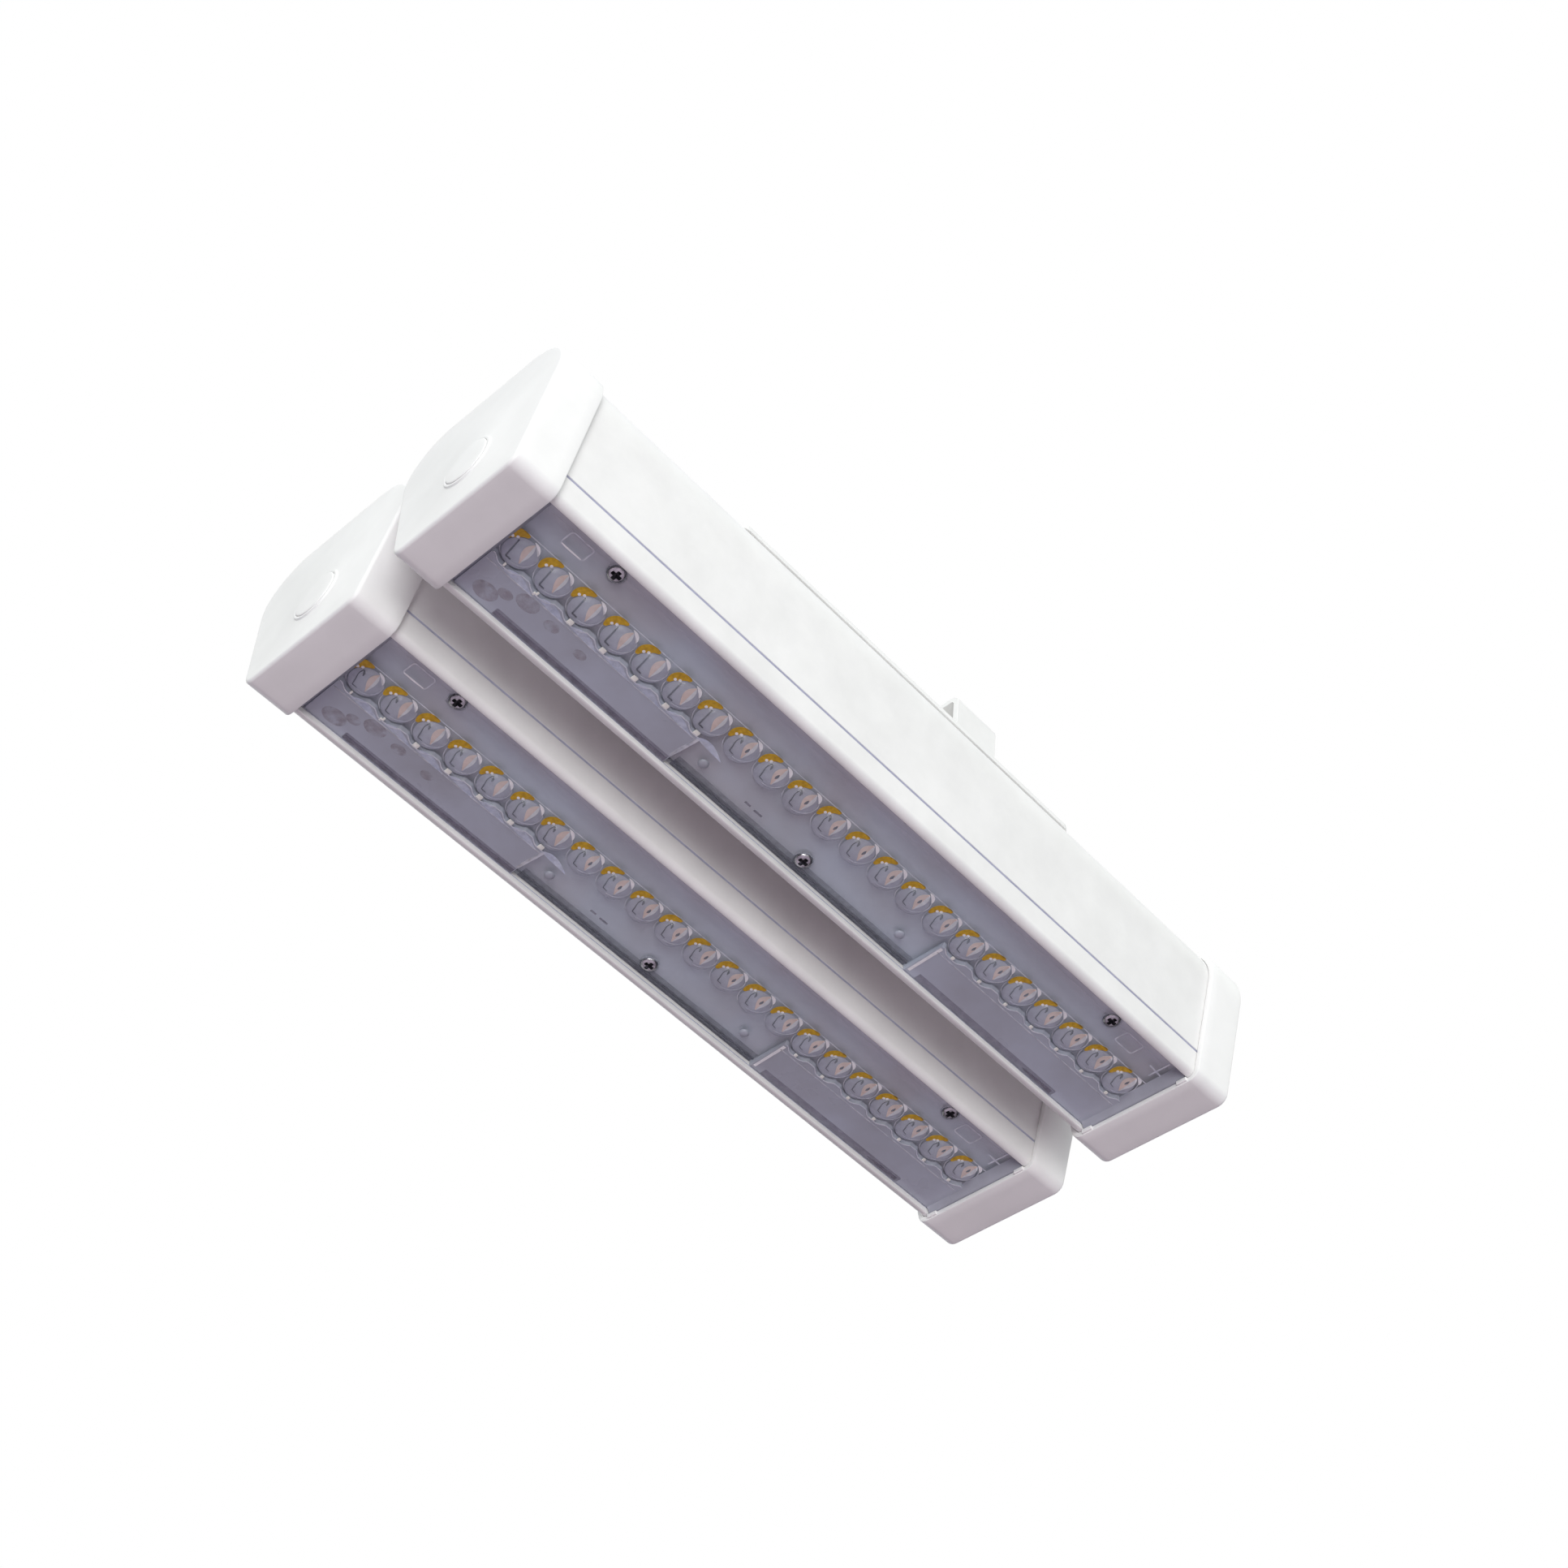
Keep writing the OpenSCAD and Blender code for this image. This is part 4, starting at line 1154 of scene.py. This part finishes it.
for name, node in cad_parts.items():
    key = name if name in NODE_FINISH else name[:-2]
    if key in NODE_FINISH:
        node.data.materials.clear()
        node.data.materials.append(MATERIALS[NODE_FINISH[key]])
    if key in EDGE_ROUNDING:
        soften(node, EDGE_ROUNDING[key])

# ---------------------------------------------------------------- room, light and camera

scene = bpy.context.scene
SKY_LOW = (0.93, 1.06, 1.2)
SKY_MID = (1.0, 1.02, 0.88)
SKY_HIGH = (0.96, 0.95, 1.04)
AIM = (0, 0, 0.03)

# where the camera is, where it looks, and which way its picture's top and right-hand side face
CAMERA_PLACE = (-0.32717, -0.37778, -0.52709)
VIEW = Vector((0.42704, 0.48939, 0.76035))
UP = Vector((-0.59918, -0.47661, 0.64329))
RIGHT = Vector((0.67721, -0.7303, 0.0897))


def add_light(name, place, target, size, power, colour):
    data = bpy.data.lights.new(name, "AREA")
    data.shape = "DISK"
    data.size = size
    data.energy = power
    data.color = colour
    lamp = bpy.data.objects.new(name, data)
    lamp.location = place
    lamp.rotation_euler = (Vector(target) - Vector(place)).to_track_quat("-Z", "Y").to_euler()
    lamp.visible_camera = False
    scene.collection.objects.link(lamp)


def build_world():
    """White behind the object, and a soft sky that fades out below the horizon."""
    world = bpy.data.worlds.new("studio")
    world.use_nodes = True
    tree = world.node_tree
    tree.nodes.clear()
    out = tree.nodes.new("ShaderNodeOutputWorld")
    soft = tree.nodes.new("ShaderNodeBackground")
    plain = tree.nodes.new("ShaderNodeBackground")
    pick = tree.nodes.new("ShaderNodeMixShader")
    path = tree.nodes.new("ShaderNodeLightPath")
    where = tree.nodes.new("ShaderNodeTexCoord")
    split = tree.nodes.new("ShaderNodeSeparateXYZ")
    level = tree.nodes.new("ShaderNodeMapRange")
    sky = tree.nodes.new("ShaderNodeValToRGB")
    level.inputs["From Min"].default_value = -1
    level.inputs["From Max"].default_value = 1
    stops = [(0.0, (0, 0, 0)), (0.425, (0.04, 0.04, 0.04)), (0.55, SKY_LOW), (0.75, SKY_MID), (1.0, SKY_HIGH)]
    elements = sky.color_ramp.elements
    while len(elements) < len(stops):
        elements.new(0.5)
    for element, (place, colour) in zip(elements, stops):
        element.position = place
        element.color = (*colour, 1)
    tree.links.new(where.outputs["Generated"], split.inputs[0])
    tree.links.new(split.outputs["Z"], level.inputs["Value"])
    tree.links.new(level.outputs["Result"], sky.inputs["Fac"])
    tree.links.new(sky.outputs["Color"], soft.inputs["Color"])
    plain.inputs["Color"].default_value = (1, 1, 1, 1)
    tree.links.new(path.outputs["Is Camera Ray"], pick.inputs["Fac"])
    tree.links.new(soft.outputs["Background"], pick.inputs[1])
    tree.links.new(plain.outputs["Background"], pick.inputs[2])
    tree.links.new(pick.outputs["Shader"], out.inputs["Surface"])
    scene.world = world


def build_floor():
    """A pale floor well below the object, whose bounced light is a little lilac."""
    mesh = bpy.data.meshes.new("floor")
    size, level = 2.6, -2.6
    corners = [(-size, -size, level), (size, -size, level), (size, size, level), (-size, size, level)]
    mesh.from_pydata(corners, [], [(0, 1, 2, 3)])
    s = Surface("pale_floor")
    glow = s.ramp(s.noise(3, 4.0), [(0.3, srgb(182, 165, 181)), (0.7, srgb(190, 173, 189))])
    seen = s.node("ShaderNodeLightPath").outputs["Is Camera Ray"]
    s.link(s.mix(seen, glow, srgb(224, 224, 228)), s.shader.inputs["Base Color"])
    s.link(s.spread(s.noise(8, 3.0), 0.7, 0.85), s.shader.inputs["Roughness"])
    mesh.materials.append(s.material)
    floor = bpy.data.objects.new("floor", mesh)
    scene.collection.objects.link(floor)


build_world()
build_floor()
add_light("key", (-1.5, -1.5, -0.6), AIM, 1.4, 30.5, (0.995, 1.0, 1.0))
add_light("side_fill", (-0.3, -2.0, -0.5), AIM, 1.4, 7.0, (1.0, 1.01, 0.95))
add_light("back_fill", (0.2, 2.0, -0.4), AIM, 1.4, 3.4, (1.0, 1.0, 0.95))

camera_data = bpy.data.cameras.new("camera")
camera_data.sensor_width = 36
camera_data.lens = 54.70
camera = bpy.data.objects.new("camera", camera_data)
turn = Matrix((RIGHT, UP, -VIEW)).transposed().to_4x4()
camera.matrix_world = Matrix.Translation(CAMERA_PLACE) @ turn
scene.collection.objects.link(camera)
scene.camera = camera
scene.view_settings.view_transform = "Standard"
